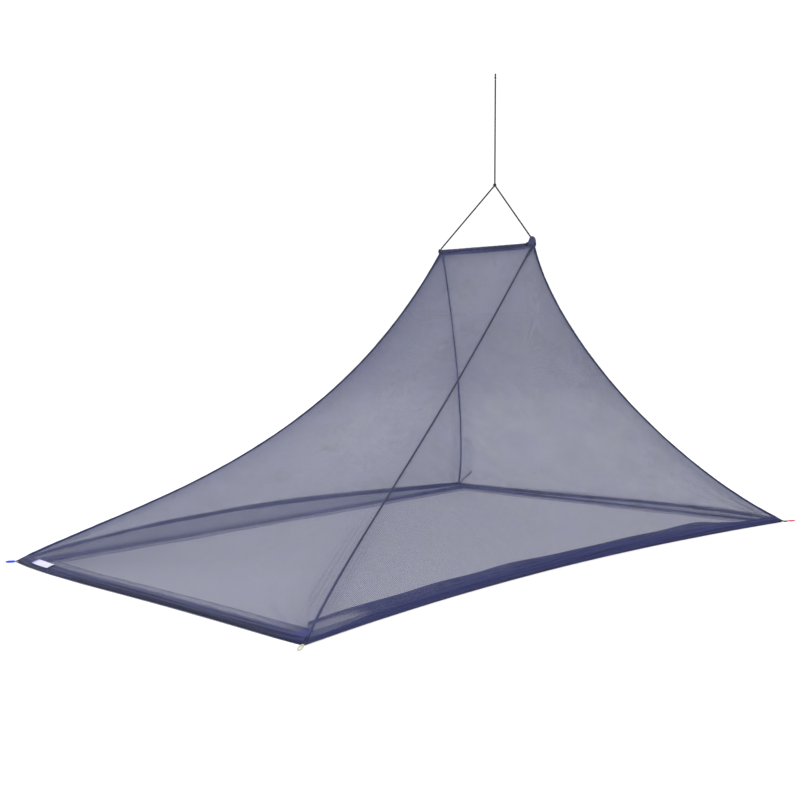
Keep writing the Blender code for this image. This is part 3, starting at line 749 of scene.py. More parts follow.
def seam_at(corner, shares):
    """Places on a corner's seam at shares of its length, from the sleeve down."""
    end_name, side_name = corner.split("_")
    shape = SEAM_SHAPES[end_name]
    top, tip = RIDGE_ENDS[side_name], CORNERS[corner]
    reach = np.linalg.norm(tip - top[:2])
    out = np.append((tip - top[:2]) / reach, 0.0)
    foot = np.append(tip - out[:2] * TIP_INSET, SEAM_FOOT_HEIGHT)
    sideways = np.array([0.0, -np.sign(tip[1]), 0.0])
    inward = unit(sideways - out * (sideways @ out))
    up = np.array([0.0, 0.0, 1.0])
    handle_top = (top + out * shape["out"] * reach - up * shape["down"] * top[2]
                  + inward * shape["side_top"])
    handle_foot = (foot - out * shape["back"] * reach + up * shape["up"] * top[2]
                   + inward * shape["side_foot"])
    t = np.linspace(0.0, 1.0, 2001)[:, None]
    curve = ((1 - t) ** 3 * top + 3 * (1 - t) ** 2 * t * handle_top
             + 3 * (1 - t) * t * t * handle_foot + t ** 3 * foot)
    clear = np.hypot(curve[:, 0] - RIDGE_X, curve[:, 2] - sleeve_axis_height(curve[:, 1]))
    curve = curve[int(np.argmax(clear > SLEEVE_RADIUS + GAP)):]
    run = arc_length(curve, 0)
    return np.stack([np.interp(run[-1] * shares, run, curve[:, k]) for k in range(3)],
                    axis=1)


for corner_name in CORNERS:
    seam_run = arc_length(seam_at(corner_name, np.linspace(0.0, 1.0, 200)), 0)[-1]
    print(corner_name, "seam in m:", round(float(seam_run), 3))

# %% [markdown]
# ## The net panels
# Two four-sided panels close the ends and two three-sided ones close the long sides.
# Each is a ruled sheet: straight threads from one seam to the other, row by row, drawn
# down to the hem's own line near the ground. The hem is the panel's own cloth, turned
# in and up again behind itself, so it is modelled as more rows of the same grid.
# Soft pleats fan out from the pegged corners, and small puckers run beside the seams.

# %% Hem lines
HEMS = {
    "foot": {"from": "foot_far", "to": "foot_near",
             "bow": (-0.024, -0.012, -0.006), "lift": (0.0, 0.0, 0.0)},
    "near": {"from": "foot_near", "to": "head_near",
             "bow": (0.080, 0.106, 0.078), "lift": (0.0, 0.0, 0.0)},
    "head": {"from": "head_near", "to": "head_far",
             "bow": (0.0, 0.0, 0.0), "lift": (0.014, 0.010, 0.003)},
    "far": {"from": "head_far", "to": "foot_far",
            "bow": (0.0, 0.0, 0.0), "lift": (0.027, 0.047, 0.042)},
}
HEM_SHARE = 0.975
HEM_HEIGHT = 0.0026
LIFT_START = 0.12
TRIANGLE_DROP = 0.001


def through_quarters(values, t):
    """The curve of fourth degree that is 0 at both ends and passes three heights."""
    knots = np.linspace(0.0, 1.0, 5)
    total = np.zeros_like(t)
    for i, height in enumerate((0.0, *values, 0.0)):
        others = np.delete(knots, i)
        total = total + height * np.prod((t[..., None] - others) / (knots[i] - others),
                                         axis=-1)
    return total


def hem_line(side):
    """Start, direction along, direction inwards, and length of a side on the ground."""
    start = np.append(CORNERS[HEMS[side]["from"]], 0.0)
    end = np.append(CORNERS[HEMS[side]["to"]], 0.0)
    along = unit(end - start)
    return start, along, np.array([-along[1], along[0], 0.0]), np.linalg.norm(end - start)


def hem_lift(side, t):
    """How far the hem hangs clear of the ground, from nothing at both corners."""
    from_end = np.minimum(t, 1.0 - t) * hem_line(side)[3]
    return through_quarters(HEMS[side]["lift"], t) * smooth(from_end / LIFT_START)


# %% Panel grid
def seam_edge(seam, other):
    """The panel's edge: the seam moved square to itself, to beside its tape."""
    tangent = unit(np.gradient(seam, axis=0))
    across = unit(other - seam)
    across = across - tangent * np.sum(across * tangent, axis=1, keepdims=True)
    return seam + unit(across) * (BINDING_RADIUS * 0.6)


def ruled_sheet(side, u, shares):
    """Threads from seam to seam, plus a pull to the hem that grows as share cubed."""
    first = seam_at(HEMS[side]["from"], shares)
    second = seam_at(HEMS[side]["to"], shares)
    left, right = seam_edge(first, second), seam_edge(second, first)
    if side in ("near", "far"):
        for edge in (left, right):
            edge[0] += unit(edge[1] - edge[0]) * TRIANGLE_DROP
    rows = left[:, None] * (1.0 - u)[:, None] + right[:, None] * u[:, None]
    start, along, inward, length = hem_line(side)
    lowest = rows[-1]
    t = (lowest - start) @ along / length
    bow = through_quarters(HEMS[side]["bow"], t)
    shift = inward * (bow - (bow[0] * (1.0 - u) + bow[-1] * u))[:, None]
    from_end = np.minimum(u, 1.0 - u) * length
    target = HEM_HEIGHT + hem_lift(side, t)
    shift[:, 2] = (target - lowest[:, 2]) * smooth(from_end / 0.06)
    return rows + shift * shares[:, None, None] ** 3


def outward_normals(points):
    """Square to the grid at each point, turned away from the net's middle."""
    down, over = np.gradient(points, axis=0), np.gradient(points, axis=1)
    normal = unit(np.cross(down, over))
    away = points - np.array([0.3, 0.0, 0.25])
    sign = np.sign(np.sum(normal * away, axis=-1).mean())
    return normal * sign, sign


# %% Panel relief
PLEATS = {
    "foot": ((9.0, 0.0035), (7.0, 0.0040)),
    "near": ((8.0, 0.0040), (10.0, 0.0060)),
    "head": ((9.0, 0.0045), (7.0, 0.0035)),
    "far": ((7.0, 0.0030), (9.0, 0.0030)),
}
HEM_DEPTH = 0.038
FAN_REACH = 0.275


def corner_fan(along_m, up_m, count):
    """Ridges like spokes: a wave of the angle at the corner, fading with distance."""
    radius = np.hypot(along_m, up_m)
    angle = np.arctan2(up_m, np.maximum(along_m, 1e-6))
    wave = np.sin(count * angle * 4.0 + 2.0 * np.sin(9.0 * radius))
    wave = wave * (0.6 + 0.4 * np.sin(2.0 * count * angle + 1.0))
    return wave * smooth(radius / 0.10) * np.exp(-(radius / FAN_REACH) ** 2)


def panel_relief(side, along_m, up_m, edge):
    """Height of the cloth off its ruled sheet, and the spokes' crests, 0 to 1."""
    first, second = PLEATS[side]
    back_m = hem_line(side)[3] - along_m
    fan = (corner_fan(along_m, up_m, first[0]) * first[1]
           + corner_fan(back_m, up_m, second[0]) * second[1])
    free = smooth(edge / 0.05) * smooth((up_m - 0.03) / 0.05)
    pucker = (np.sin(TURN * up_m / 0.021 + 2.0 * np.sin(up_m * 37.0))
              * np.exp(-edge / 0.012) * 0.0006 * smooth(edge / 0.003))
    sway = (0.0035 * np.sin(5.3 * along_m + 3.1 * up_m)
            + 0.0020 * np.sin(11.0 * along_m - 6.0 * up_m + 1.3))
    low = np.exp(-(up_m / 0.06) ** 2) * smooth(edge / 0.04)
    crease = low * (0.0013 * np.sin(TURN * (up_m / 0.019 + 0.8 * np.sin(2.1 * along_m)))
                    + 0.0008 * np.sin(TURN * (up_m / 0.012 + 1.7 * np.sin(1.3 * along_m))))
    roll = 0.0040 * np.sqrt(np.clip(1.0 - (up_m / HEM_DEPTH * 2.0 - 1.0) ** 2, 0.0, 1.0))
    height = free * (fan + sway * smooth(edge / 0.15)) + pucker + crease + roll
    return height, np.clip(fan / 0.004, 0.0, 1.0) * free


def panel_shape(side, u, shares):
    """The dressed sheet and its measures: ruled sheet plus relief along its normal."""
    base = ruled_sheet(side, u, shares)
    normal, sign = outward_normals(base)
    start, along, _, length = hem_line(side)
    run = arc_length(base, 0)
    across = arc_length(base, 1)
    made = {"base": base, "normal": normal, "sign": sign, "run": run, "length": length,
            "along": (base - start) @ along, "up": run[-1][None, :] - run,
            "edge": np.minimum(across, across[:, -1:] - across)}
    height, made["crest"] = panel_relief(side, made["along"], made["up"], made["edge"])
    made["points"] = base + normal * height[..., None]
    return made


def panel_paint(side, cloth_shape):
    """Four values, 0 to 1: density, painted highlight (pale), painted shade (shade) and a bluer
    tone (blue) at each point.
    """
    along_m, up_m, edge = (cloth_shape[k] for k in ("along", "up", "edge"))
    back = cloth_shape["length"] - along_m
    from_start, from_end = np.hypot(along_m, up_m), np.hypot(back, up_m)
    tip = np.minimum(from_start, from_end)
    depth = HEM_DEPTH * np.ones_like(up_m)
    if side == "near":
        depth = HEM_DEPTH * (0.50 + 0.50 * smooth((along_m - 0.05) / 0.38))
    if side == "far":
        depth = HEM_DEPTH * (0.40 + 0.60 * smooth((back - 0.05) / 0.50))
    if side == "head":
        depth = 0.45 * depth
    in_hem = 1.0 - smooth((up_m - depth) / 0.002)
    streak = 0.5 + 0.5 * np.sin(TURN * (up_m / 0.011 + 1.2 * np.sin(1.9 * along_m)
                                        + 0.5 * np.sin(7.0 * along_m)))
    stitch = bump(up_m, depth - 0.003, 0.0020)
    cover = (0.72 * in_hem + 0.16 * cloth_shape["crest"] + 0.25 * stitch
             + 0.45 * np.exp(-(tip / 0.035) ** 2) + 0.30 * np.exp(-edge / 0.005)
             + 0.14 * np.exp(-edge / 0.09) + 0.35 * np.exp(-cloth_shape["run"] / 0.016))
    pleat = 0.5 + 0.5 * np.sin(TURN * edge / 0.019 + 3.0 * np.sin(2.6 * tip))
    beside = bump(edge, 0.038, 0.030) * smooth((tip - 0.10) / 0.15) * smooth((0.85 - tip) / 0.4)
    cover = cover + 0.22 * pleat * beside * (1.0 - in_hem)
    pale = 0.0 * up_m
    # Painted shade on the lower part of each hem and in the troughs of its creases, plus a dark
    # stitch line along the hem's top. Blue paints the creases' crests as a bluer highlight.
    low = 1.0 - smooth((up_m - 0.40 * depth) / 0.010)
    shade = 0.30 * in_hem * (1.0 - streak) + 0.65 * in_hem * low + 0.45 * stitch
    blue = 0.30 * in_hem * streak
    if side == "foot":
        # Painted highlight: pale lightens the upper band of the foot hem's roll.
        upper = smooth((up_m - 0.018) / 0.006) * smooth((0.034 - up_m) / 0.004)
        pale = 0.45 * upper * (0.5 + 0.5 * streak) * smooth((from_start - 0.10) / 0.25)
        pale = pale * smooth((back - 0.12) / 0.3)
        strip = smooth((along_m - 0.09) / 0.06) * smooth((0.46 - along_m) / 0.16)
        lowest = (1.0 - smooth((up_m - 0.011) / 0.003)) * smooth((up_m - 0.0020) / 0.0015)
        cover = cover * (1.0 - 0.70 * strip * lowest)
        shade = shade * (1.0 - 0.6 * strip * lowest)
        corner = np.exp(-(np.hypot(0.75 * back, up_m) / 0.080) ** 4)
        gather = 0.5 + 0.5 * np.sin(TURN * back / 0.009 + 1.5 * np.sin(60.0 * up_m))
        haze = np.exp(-edge / 0.20) * smooth((0.75 - along_m) / 0.25)
        cover = cover + 0.62 * corner + 0.26 * haze + 0.05 * in_hem
        # Painted shade and a bluer painted highlight alternate over the corner's gathers, and two
        # bluer patches sit near the corner.
        shade = shade + 0.45 * corner * gather * smooth((up_m - 0.02) / 0.02)
        blue = (blue * 0.4 + 0.9 * bump(back, 0.150, 0.022) * bump(up_m, 0.046, 0.012)
                + 0.9 * bump(back, 0.030, 0.022) * bump(up_m, 0.040, 0.018)
                + 0.45 * corner * (1.0 - gather))
    if side == "near":
        # Painted shade in the troughs of the near hem's fine creases and a bluer painted
        # highlight on their crests. There is also painted shade at the tip of the head corner.
        fine = 0.5 + 0.5 * np.sin(TURN * (up_m / 0.0065 + 0.9 * np.sin(2.7 * along_m + 1.0)))
        shade = 0.70 * shade + 0.55 * in_hem * (1.0 - streak) * (0.5 + 0.5 * fine)
        blue = 0.55 * in_hem * (0.15 + 0.85 * streak)
        cover = cover + 0.16 * in_hem + 0.40 * np.exp(-(from_start / 0.045) ** 2)
        shade = shade + 0.8 * np.exp(-(from_end / 0.055) ** 2)
    # The far and head hems get extra painted shade.
    if side == "far":
        cover = cover + 0.10
        shade = shade + 0.35 * in_hem
    if side == "head":
        cover = cover - 0.20 * in_hem
        shade = shade + 0.3 * in_hem
    return {"cover": np.clip(cover, 0.0, 0.97), "pale": np.clip(pale, 0.0, 1.0),
            "shade": np.clip(shade, 0.0, 0.95), "blue": np.clip(blue, 0.0, 1.0)}


# %% Panels with their hems
PANEL_COLUMNS = {"foot": 201, "near": 301, "head": 201, "far": 301}
PANEL_ROWS = 112
FOLD_RADIUS = 0.0011
LOWEST_CLOTH = 0.0013


def dress_panel(side):
    """One panel: rows to the fold at its foot, then rows turned up behind the hem."""
    shares = np.concatenate([np.linspace(0.0, 0.94, PANEL_ROWS, endpoint=False),
                             np.linspace(0.94, 1.0, 34)])
    made = panel_shape(side, np.linspace(0.0, 1.0, PANEL_COLUMNS[side]), shares)
    points, normal, run, up_m = (made[k] for k in ("points", "normal", "run", "up"))
    down = unit(points[-1] - points[-2])
    under = [points[-1] - normal[-1] * FOLD_RADIUS * (1.0 - math.cos(a))
             + down * FOLD_RADIUS * math.sin(a)
             for a in np.linspace(0.25, 1.0, 4) * math.pi]
    back_rows = [row for row in range(len(shares) - 2, 0, -1)
                 if up_m[row].mean() < HEM_DEPTH][::2]
    behind = made["base"][back_rows] - normal[back_rows] * 2.0 * FOLD_RADIUS
    sheet = np.concatenate([points, np.array(under), behind])
    sheet[..., 2] = np.maximum(sheet[..., 2], LOWEST_CLOTH)

    def whole(values):
        return np.concatenate([values, np.repeat(values[-1:], 4, axis=0),
                               values[back_rows]])

    uv = np.stack([whole(made["along"]), arc_length(sheet, 0)], axis=-1)
    paint = {label: whole(amount) for label, amount in panel_paint(side, made).items()}
    panel = cloth("net_panel_" + side + "_cloth", sheet, uv, NET, "net_mesh",
                  flip=made["sign"] < 0, **paint)
    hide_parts("net_panel_" + side)


for side_name in HEMS:
    dress_panel(side_name)

# %% [markdown]
# ## The ground skirts
# Below each hem a strip of the same net lies in on the ground, so that nothing creeps
# under. It rests on its outer edge and inner hem and lifts between them in long loose
# creases. The strips meet at the corners on a slant, as a picture frame does.

# %% Skirts
SKIRT_SECTION = (
    (0.000, 0.000), (0.014, 0.000), (0.030, 0.005), (0.046, 0.001),
    (0.064, 0.006), (0.082, 0.001), (0.100, 0.004), (0.120, 0.000),
)
SKIRT_FLAT = 0.016
SKIRT_FALL = 0.045
SKIRT_OVERLAP = 0.0040
SKIRT_WIDTH = {"foot": 0.120, "near": 0.140, "head": 0.120, "far": 0.120}
SKIRT_COLUMNS = {"foot": 161, "near": 281, "head": 161, "far": 281}


def mitre(side, across, at_end):
    """How far in from a corner the slanted end of a strip lies, solved by repeats."""
    _, along, _, length = hem_line(side)
    order = list(HEMS)
    neighbour = order[(order.index(side) + (1 if at_end else -1)) % len(order)]
    turn = float(np.clip(along @ hem_line(neighbour)[1], -1.0, 1.0))
    corner = math.pi - math.acos(turn)
    inset = np.zeros_like(across)
    for _ in range(12):
        share = 1.0 - inset / length if at_end else inset / length
        inset = ((across + through_quarters(HEMS[side]["bow"], share))
                 / math.tan(corner / 2.0) - SKIRT_OVERLAP * np.minimum(1.0, across / 0.02))
    return inset


def skirt_paint(side, from_start, from_end, across, ridge):
    """Four values, 0 to 1, as for a panel: density, painted highlight (none here), painted shade
    and a bluer tone.
    """
    width = SKIRT_WIDTH[side]
    inner_edge = bump(across, width - 0.002, 0.0032)
    outer_edge = bump(across, 0.0, 0.008)
    ends = np.minimum(from_start, from_end)
    corner = np.exp(-(ends / 0.06) ** 2)
    streak = 0.5 + 0.5 * np.sin(TURN * (across / 0.021 + 1.3 * np.sin(2.3 * from_start)
                                        + 0.5 * np.sin(9.0 * from_start)))
    line = 0.5 + 0.5 * np.sin(TURN * (across / 0.0085 + 1.6 * np.sin(3.1 * from_start)))
    # Painted light: shade darkens the edges and the troughs of the creases and gathers, and blue
    # is a bluer painted highlight on their crests. There is also a bluer line along the inner
    # edge.
    blue = 0.9 * inner_edge
    shade = 0.5 * outer_edge
    if side == "foot":
        gather = np.exp(-(from_end / 0.15) ** 2)
        strip = smooth((from_start - 0.09) / 0.06) * smooth((0.46 - from_start) / 0.16)
        cover = (0.04 * ridge + 0.55 * inner_edge + 0.75 * gather
                 + 0.5 * outer_edge * (1.0 - 0.8 * strip))
        blue = blue + 0.6 * gather * line
        shade = shade + 0.5 * gather * (1.0 - line)
    elif side == "near":
        close = smooth((from_start - 0.26) / 0.16)
        inner_band = smooth((across - width + 0.026) / 0.006)
        cover = (0.02 + 0.86 * close + 0.75 * inner_band * (1.0 - close)
                 + 0.12 * streak * close + 0.5 * outer_edge)
        blue = blue + 0.65 * streak * close + 0.4 * inner_band * (1.0 - close)
        shade = (shade + 0.75 * (1.0 - streak) * close * (0.4 + 0.6 * line)
                 + 0.35 * inner_band * (1.0 - close)
                 + 0.5 * inner_edge * smooth((from_start - 1.4) / 0.4))
    else:
        falls, thread = (0.070, 0.55) if side == "far" else (0.056, 0.35)
        hanging = 1.0 - smooth((across - falls) / 0.020)
        cover = 0.02 + 0.72 * hanging + 0.03 * ridge + thread * inner_edge
        shade = shade + 0.5 * inner_edge + 0.35 * hanging * line
    cover = cover + 0.30 * corner * (side in ("foot", "near"))
    return {"cover": np.clip(cover, 0.0, 0.96), "pale": 0.0 * cover,
            "shade": np.clip(shade, 0.0, 0.9) + 0.0 * cover,
            "blue": np.clip(blue, 0.0, 0.95) + 0.0 * cover}


def dress_skirt(side):
    """Along and across on a grid; the height is the crease section times a wave."""
    start, along, inward, length = hem_line(side)
    width = SKIRT_WIDTH[side]
    across = np.linspace(0.0, width, 57)
    marks = np.array(SKIRT_SECTION)
    t_mark = np.interp(across * (0.120 / width), marks[:, 0], np.arange(len(marks)))
    whole = np.minimum(t_mark.astype(int), len(marks) - 2)
    height = (marks[whole, 1] + (marks[whole + 1, 1] - marks[whole, 1])
              * smooth(t_mark - whole))
    first, last = mitre(side, across, False), length - mitre(side, across, True)
    k = np.linspace(0.0, 1.0, SKIRT_COLUMNS[side])
    place = first[:, None] + (last - first)[:, None] * k
    t = place / length
    bow = through_quarters(HEMS[side]["bow"], t)
    fade = smooth(np.minimum(k, 1.0 - k) * length / 0.20)
    wander = 0.004 * np.sin(TURN * 2.9 * t + 1.0) + 0.003 * np.sin(TURN * 7.3 * t)
    wander = wander * (0.15 if side == "foot" else 1.0)
    depth = across[:, None] + wander * fade * (across[:, None] / width) ** 2
    points = start + along * place[..., None] + inward * (depth + bow)[..., None]
    wave = 0.75 + 0.25 * np.sin(TURN * (2.3 * k[None, :] + 7.0 * across[:, None]))
    fall = 1.0 - smooth((across - SKIRT_FLAT) / SKIRT_FALL)
    fine = (0.0009 * np.sin(TURN * (across[:, None] / 0.0125 + 1.1 * np.sin(5.0 * t)))
            + 0.0006 * np.sin(TURN * (across[:, None] / 0.0085 + 9.0 * t)))
    middle = smooth(across / 0.02) * smooth((width - across) / 0.015)
    lift = height[:, None] * fade * wave + (fine + 0.0012) * middle[:, None] * fade
    if side == "near":
        rise = 0.0035 + 0.0025 * np.sin(TURN * 3.7 * t) * np.sin(TURN * 1.3 * t + 1.0)
        rise = rise + 0.0105 * bump(t, 0.86, 0.13)
        lift = lift + rise * fade * smooth((across[:, None] - 0.09) / 0.05)
    layer = 0.0011 if side in ("near", "far") else 0.0016
    points[..., 2] = layer + hem_lift(side, t) * fall[:, None] + lift
    paint = skirt_paint(side, place, length - place, across[:, None],
                        np.clip(lift / 0.007, 0.0, 1.0))
    uv = np.stack(np.broadcast_arrays(place, across[:, None]), axis=-1)
    skirt = cloth("ground_skirt_" + side + "_cloth", points, uv, SKIRT, "skirt_mesh",
                  **paint)
    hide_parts("ground_skirt_" + side)


for side_name in HEMS:
    dress_skirt(side_name)

# %% [markdown]
# ## Tape on the seams
# Where two panels meet, a folded tape is sewn over their edges. It is a flattened tube
# along the seam, a little uneven, as tape is when it is sewn on by hand.

# %% Seam tapes
def dress_tape(corner):
    """An oval down the seam, from inside the sleeve to the corner's drawn-out tip."""
    seam = seam_at(corner, np.linspace(0.0, 1.0, 420))
    above = seam[0] + unit(seam[0] - seam[3]) * 0.010
    top = above * np.array([0.0, 1.0, 0.0]) + np.array([RIDGE_X, 0.0, above[2] + 0.002])
    tip = np.append(CORNERS[corner] + unit(CORNERS[corner]) * 0.0012, 0.0032)
    path = np.vstack([top, seam[0] + (top - seam[0]) * 0.5, seam, (seam[-1] + tip) / 2.0, tip])
    share = np.linspace(0.0, 1.0, len(path))
    radius = 0.0033 + 0.0010 * smooth((share - 0.70) / 0.30)
    radius = radius * (1.0 + 0.05 * np.sin(share * 61.0) + 0.04 * np.sin(share * 143.0))
    radius = np.minimum(radius, 0.0022 + 0.0024 * smooth((1.0 - share) / 0.035))

    def relief(run, around):
        fold = 0.10 * np.cos(3.0 * around + 9.0 * run)
        stitches = 0.05 * np.sin(TURN * run / 0.0042) * np.cos(2.0 * around)
        return fold + stitches

    def low(run, around):
        lower = smooth((run / run.max() - 0.72) / 0.22)
        return lower * (1.0 - smooth((run - run.max() + 0.05) / 0.03))

    tape = tube("seam_tape_" + corner, path, radius, TAPE, "seam_tape", sides=14,
                flat=0.8, relief=relief, paint={"low": low})
    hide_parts("seam_binding_" + corner)


for corner_name in CORNERS:
    dress_tape(corner_name)

# %% [markdown]
# ## The ridge sleeve and its rod
# The top edge is a sleeve of soft cloth, bunched on a thin rod and tied near each end.
# Bunched cloth has no even pattern, so waves of several lengths and slants are added
# up, and the cloth is drawn in where the cord ties it. The same waves paint a lighter
# highlight on its crests.

# %% Sleeve
SLEEVE_SECTIONS = (
    (0.2240, 0.0064, 0.0062, 0.0066),
    (0.2172, 0.0066, 0.0064, 0.0075),
    (0.2145, 0.0100, 0.0070, 0.0130),
    (0.2050, 0.0105, 0.0064, 0.0150),
    (0.1400, 0.0100, 0.0058, 0.0155),
    (0.0700, 0.0108, 0.0060, 0.0168),
    (0.0000, 0.0100, 0.0055, 0.0172),
    (-0.0800, 0.0108, 0.0058, 0.0172),
    (-0.1500, 0.0102, 0.0056, 0.0165),
    (-0.1800, 0.0098, 0.0058, 0.0150),
    (-0.1885, 0.0064, 0.0060, 0.0110),
    (-0.1935, 0.0064, 0.0062, 0.0105),
    (-0.1975, 0.0095, 0.0150, 0.0120),
    (-0.2025, 0.0125, 0.0255, 0.0135),
    (-0.2090, 0.0135, 0.0290, 0.0140),
    (-0.2150, 0.0135, 0.0285, 0.0140),
    (-0.2200, 0.0115, 0.0240, 0.0125),
    (-0.2225, 0.0080, 0.0150, 0.0100),
)
ROD_RADIUS = 0.0040
LASHINGS = {"far": 0.2195, "near": -0.1910}


def sleeve_outline(y):
    """Half width, height above and depth below the rod at a place along it."""
    table = np.array(SLEEVE_SECTIONS)[::-1]
    return [np.interp(y, table[:, 0], table[:, k]) for k in (1, 2, 3)]


def dress_sleeve():
    """An oval along the rod, its radius swollen and pinched by summed waves."""
    y = np.concatenate([[0.2240], np.linspace(0.2240, -0.2225, 360), [-0.2225]])
    lap = 0.14
    around = np.linspace(-0.25 * TURN - lap, 0.75 * TURN + lap, 73)
    side, up, down = sleeve_outline(y)
    place, angle = y[:, None], around[None, :]
    gather = (np.exp(-np.abs(place - LASHINGS["far"]) / 0.022)
              + np.exp(-np.abs(place - LASHINGS["near"]) / 0.022))
    pleat = np.sin(11.0 * angle + 2.0 * np.sin(60.0 * place)) * np.clip(gather, 0.0, 1.0)
    slant = np.sin(TURN * place / 0.031 + 2.0 * angle + 1.6 * np.sin(angle + 31.0 * place))
    small = np.sin(TURN * place / 0.0105 - 3.0 * angle + 2.2 * np.sin(2.0 * angle + 70.0 * place))
    long_fold = np.sin(4.0 * angle + 2.5 * np.sin(17.0 * place))
    relief = 0.30 * slant + 0.40 * small + 0.40 * long_fold + 0.55 * pleat
    grow = 1.0 + 0.085 * relief - 0.03
    grow = grow - 0.05 * smooth((-0.25 * TURN + lap - angle) / (2.0 * lap))
    sine, cosine = np.sin(angle), np.cos(angle)
    high = np.where(sine >= 0.0, up[:, None] * sine, down[:, None] * sine)
    points = np.stack([RIDGE_X + side[:, None] * cosine * grow,
                       np.broadcast_to(place, grow.shape),
                       sleeve_axis_height(place) + high * grow], axis=-1)
    for end in (0, -1):
        points[end, :, 0] = RIDGE_X + (ROD_RADIUS + 0.0002) * cosine[0]
        points[end, :, 2] = (sleeve_axis_height(y[end])
                             + (ROD_RADIUS + 0.0002) * sine[0])
    # Painted light: a lighter highlight on the crests, a painted sheen over the gathered end, and
    # painted near-black shade at the pinch under the near lashing.
    crest = smooth((relief + 0.1) / 1.0)
    lump = smooth((-0.2035 - place) / 0.004) * smooth((relief + 0.7) / 1.2)
    hollow = bump(place, -0.1905, 0.0130) * np.ones_like(grow)
    uv = np.stack(np.broadcast_arrays(angle * 0.0125,
                                      arc_length(points, 0)[:, :1]), axis=-1)
    sleeve = cloth("ridge_sleeve_cloth", points, uv, SLEEVE, "sleeve_cloth",
                   crest=crest, lump=lump, hollow=np.clip(0.95 * hollow, 0.0, 1.0))
    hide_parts("ridge_sleeve")
    ends = np.array([0.2270, -0.2185])
    path = np.stack([np.full(60, RIDGE_X), np.linspace(*ends, 60),
                     sleeve_axis_height(np.linspace(*ends, 60))], axis=1)
    rod = tube("spreader_rod_round", path, ROD_RADIUS, ROD, "rod_composite", sides=24)
    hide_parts("spreader_rod")


def dress_lashing(name, y):
    """Two and a half turns of thin cord: a flattened helix round the sleeve's neck."""
    side, up, down = (float(v) for v in sleeve_outline(y))
    t = np.linspace(0.0, 2.4 * TURN, 120)
    grow = 0.0016
    rise = np.where(np.sin(t) >= 0.0, up + grow, down + grow)
    ends = smooth(np.minimum(t, t[-1] - t) / 0.8)
    path = np.stack([RIDGE_X + (side + grow - 0.0012 * (1.0 - ends)) * np.cos(t),
                     y + (t / t[-1] - 0.5) * 0.0052,
                     sleeve_axis_height(y) + rise * np.sin(t)], axis=1)
    lashing = tube("sleeve_lashing_" + name + "_cord", path, 0.0014, GREY_CORD,
                   "grey_cord", sides=8)
    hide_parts("sleeve_lashing_" + name)


dress_sleeve()
for lashing_name, lashing_place in LASHINGS.items():
    dress_lashing(lashing_name, lashing_place)

# %% [markdown]
# ## The blank tag
# A small blank white tag is sewn on the hem beside the blue loop. It follows the hem,
# lifted a little off it so that the hem's roll stays under it, and one end curls up.

# %% Tag
def dress_tag():
    """A patch of the foot panel's sheet, moved out until it clears the hem's roll."""
    u = np.linspace(0.80, 1.74, 40) / 12.0
    shares = HEM_SHARE + (1.0 - HEM_SHARE) * np.linspace(0.20, 0.74, 14)
    upper = np.linspace(0.0, 0.972, 60)
    made = panel_shape("foot", np.concatenate([[0.0], u, [1.0]]),
                       np.concatenate([upper, shares, [1.0]]))
    part = (slice(60, -1), slice(1, -1))
    patch, normal = made["base"][part], made["normal"][part]
    s = np.linspace(0.0, 1.0, 40)[None, :]
    v = np.linspace(0.0, 1.0, 14)[:, None]
    curl = (0.0058 + 0.0010 * smooth((s - 0.75) / 0.25) ** 2
            + 0.0003 * np.sin(TURN * s + 2.0 * v) - 0.0012 * (1.0 - v) ** 3)
    points = patch + normal * curl[..., None]
    uv = np.stack([arc_length(points, 1), arc_length(points, 0)], axis=-1)
    rim = np.minimum(np.minimum(s, 1.0 - s) * 4.0, np.minimum(v, 1.0 - v))
    edge = np.clip(0.9 * (1.0 - smooth(s / 0.22)) + 0.25 * (rim < 0.06), 0.0, 1.0)
    tag = cloth("label_tag_cloth", points, uv, TAG, "tag_cloth", flip=made["sign"] < 0,
                edge=edge)
    thick = tag.modifiers.new("ClothThickness", "SOLIDIFY")
    thick.thickness = 0.0006
    thick.offset = 0.0
    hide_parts("label_tag")


dress_tag()

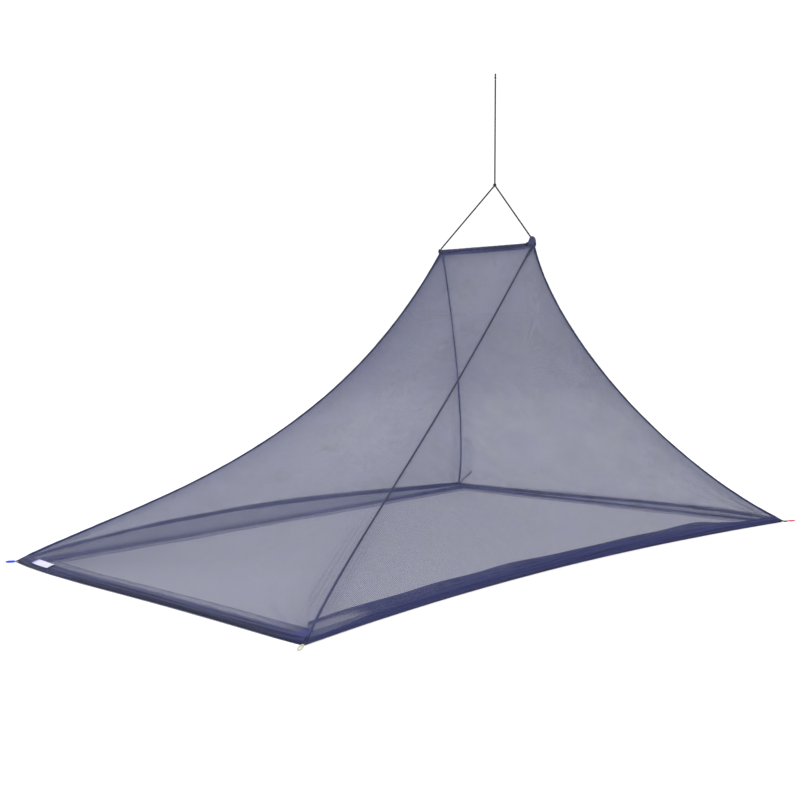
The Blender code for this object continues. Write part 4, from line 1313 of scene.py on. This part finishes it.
# %% [markdown]
# ## Floor and light
# A plain pale floor and soft light from all round, with two large soft lamps, keep the
# net readable from every side.

# %% Floor and light
FLOOR_REACH = 90.0
FLOOR_LINES = 19
FLOOR_HEIGHT = -0.0004


def stage_floor():
    """A wide flat grid a hair below height zero, faintly mottled white."""
    made, tree, shader = new_material("floor_white")
    place = tree.nodes.new("ShaderNodeTexCoord").outputs["Object"]
    tone = blend_colors(tree, clouds(tree, place, 0.8, 2.0),
                        (0.94, 0.94, 0.94), (0.97, 0.97, 0.97))
    tree.links.new(tone, shader.inputs["Base Color"])
    shader.inputs["Roughness"].default_value = 0.9
    line = np.linspace(-FLOOR_REACH, FLOOR_REACH, FLOOR_LINES)
    x, y = np.meshgrid(line, line, indexing="ij")
    points = np.stack([x, y, np.full_like(x, FLOOR_HEIGHT)], axis=-1)
    mesh = bpy.data.meshes.new("studio_floor")
    faces = grid_faces(FLOOR_LINES, FLOOR_LINES, False)
    mesh.from_pydata(points.reshape(-1, 3), [], faces.tolist())
    mesh.materials.append(made)
    mesh.flip_normals()
    floor = bpy.data.objects.new("studio_floor", mesh)
    bpy.context.scene.collection.objects.link(floor)


def soft_lamp(name, place, size, power):
    """A square area light that looks at the net's middle."""
    lamp = bpy.data.lights.new(name, "AREA")
    lamp.size = size
    lamp.energy = power
    made = bpy.data.objects.new(name, lamp)
    towards = unit(np.array([0.1, 0.0, 0.4]) - np.array(place))
    made.location = place
    made.rotation_euler = (math.acos(-towards[2]), 0.0,
                           math.atan2(towards[1], towards[0]) - math.pi / 2.0)
    bpy.context.scene.collection.objects.link(made)


world = bpy.data.worlds.new("studio_air")
bpy.context.scene.world = world
world.use_nodes = True
world.node_tree.nodes["Background"].inputs["Color"].default_value = (1.0, 1.0, 1.0, 1.0)
world.node_tree.nodes["Background"].inputs["Strength"].default_value = 1.08
bpy.context.scene.view_settings.view_transform = "Standard"
stage_floor()
soft_lamp("key_lamp", (-3.5, -5.5, 5.0), 4.0, 260.0)
soft_lamp("rim_lamp", (3.0, 5.0, 5.5), 4.0, 160.0)
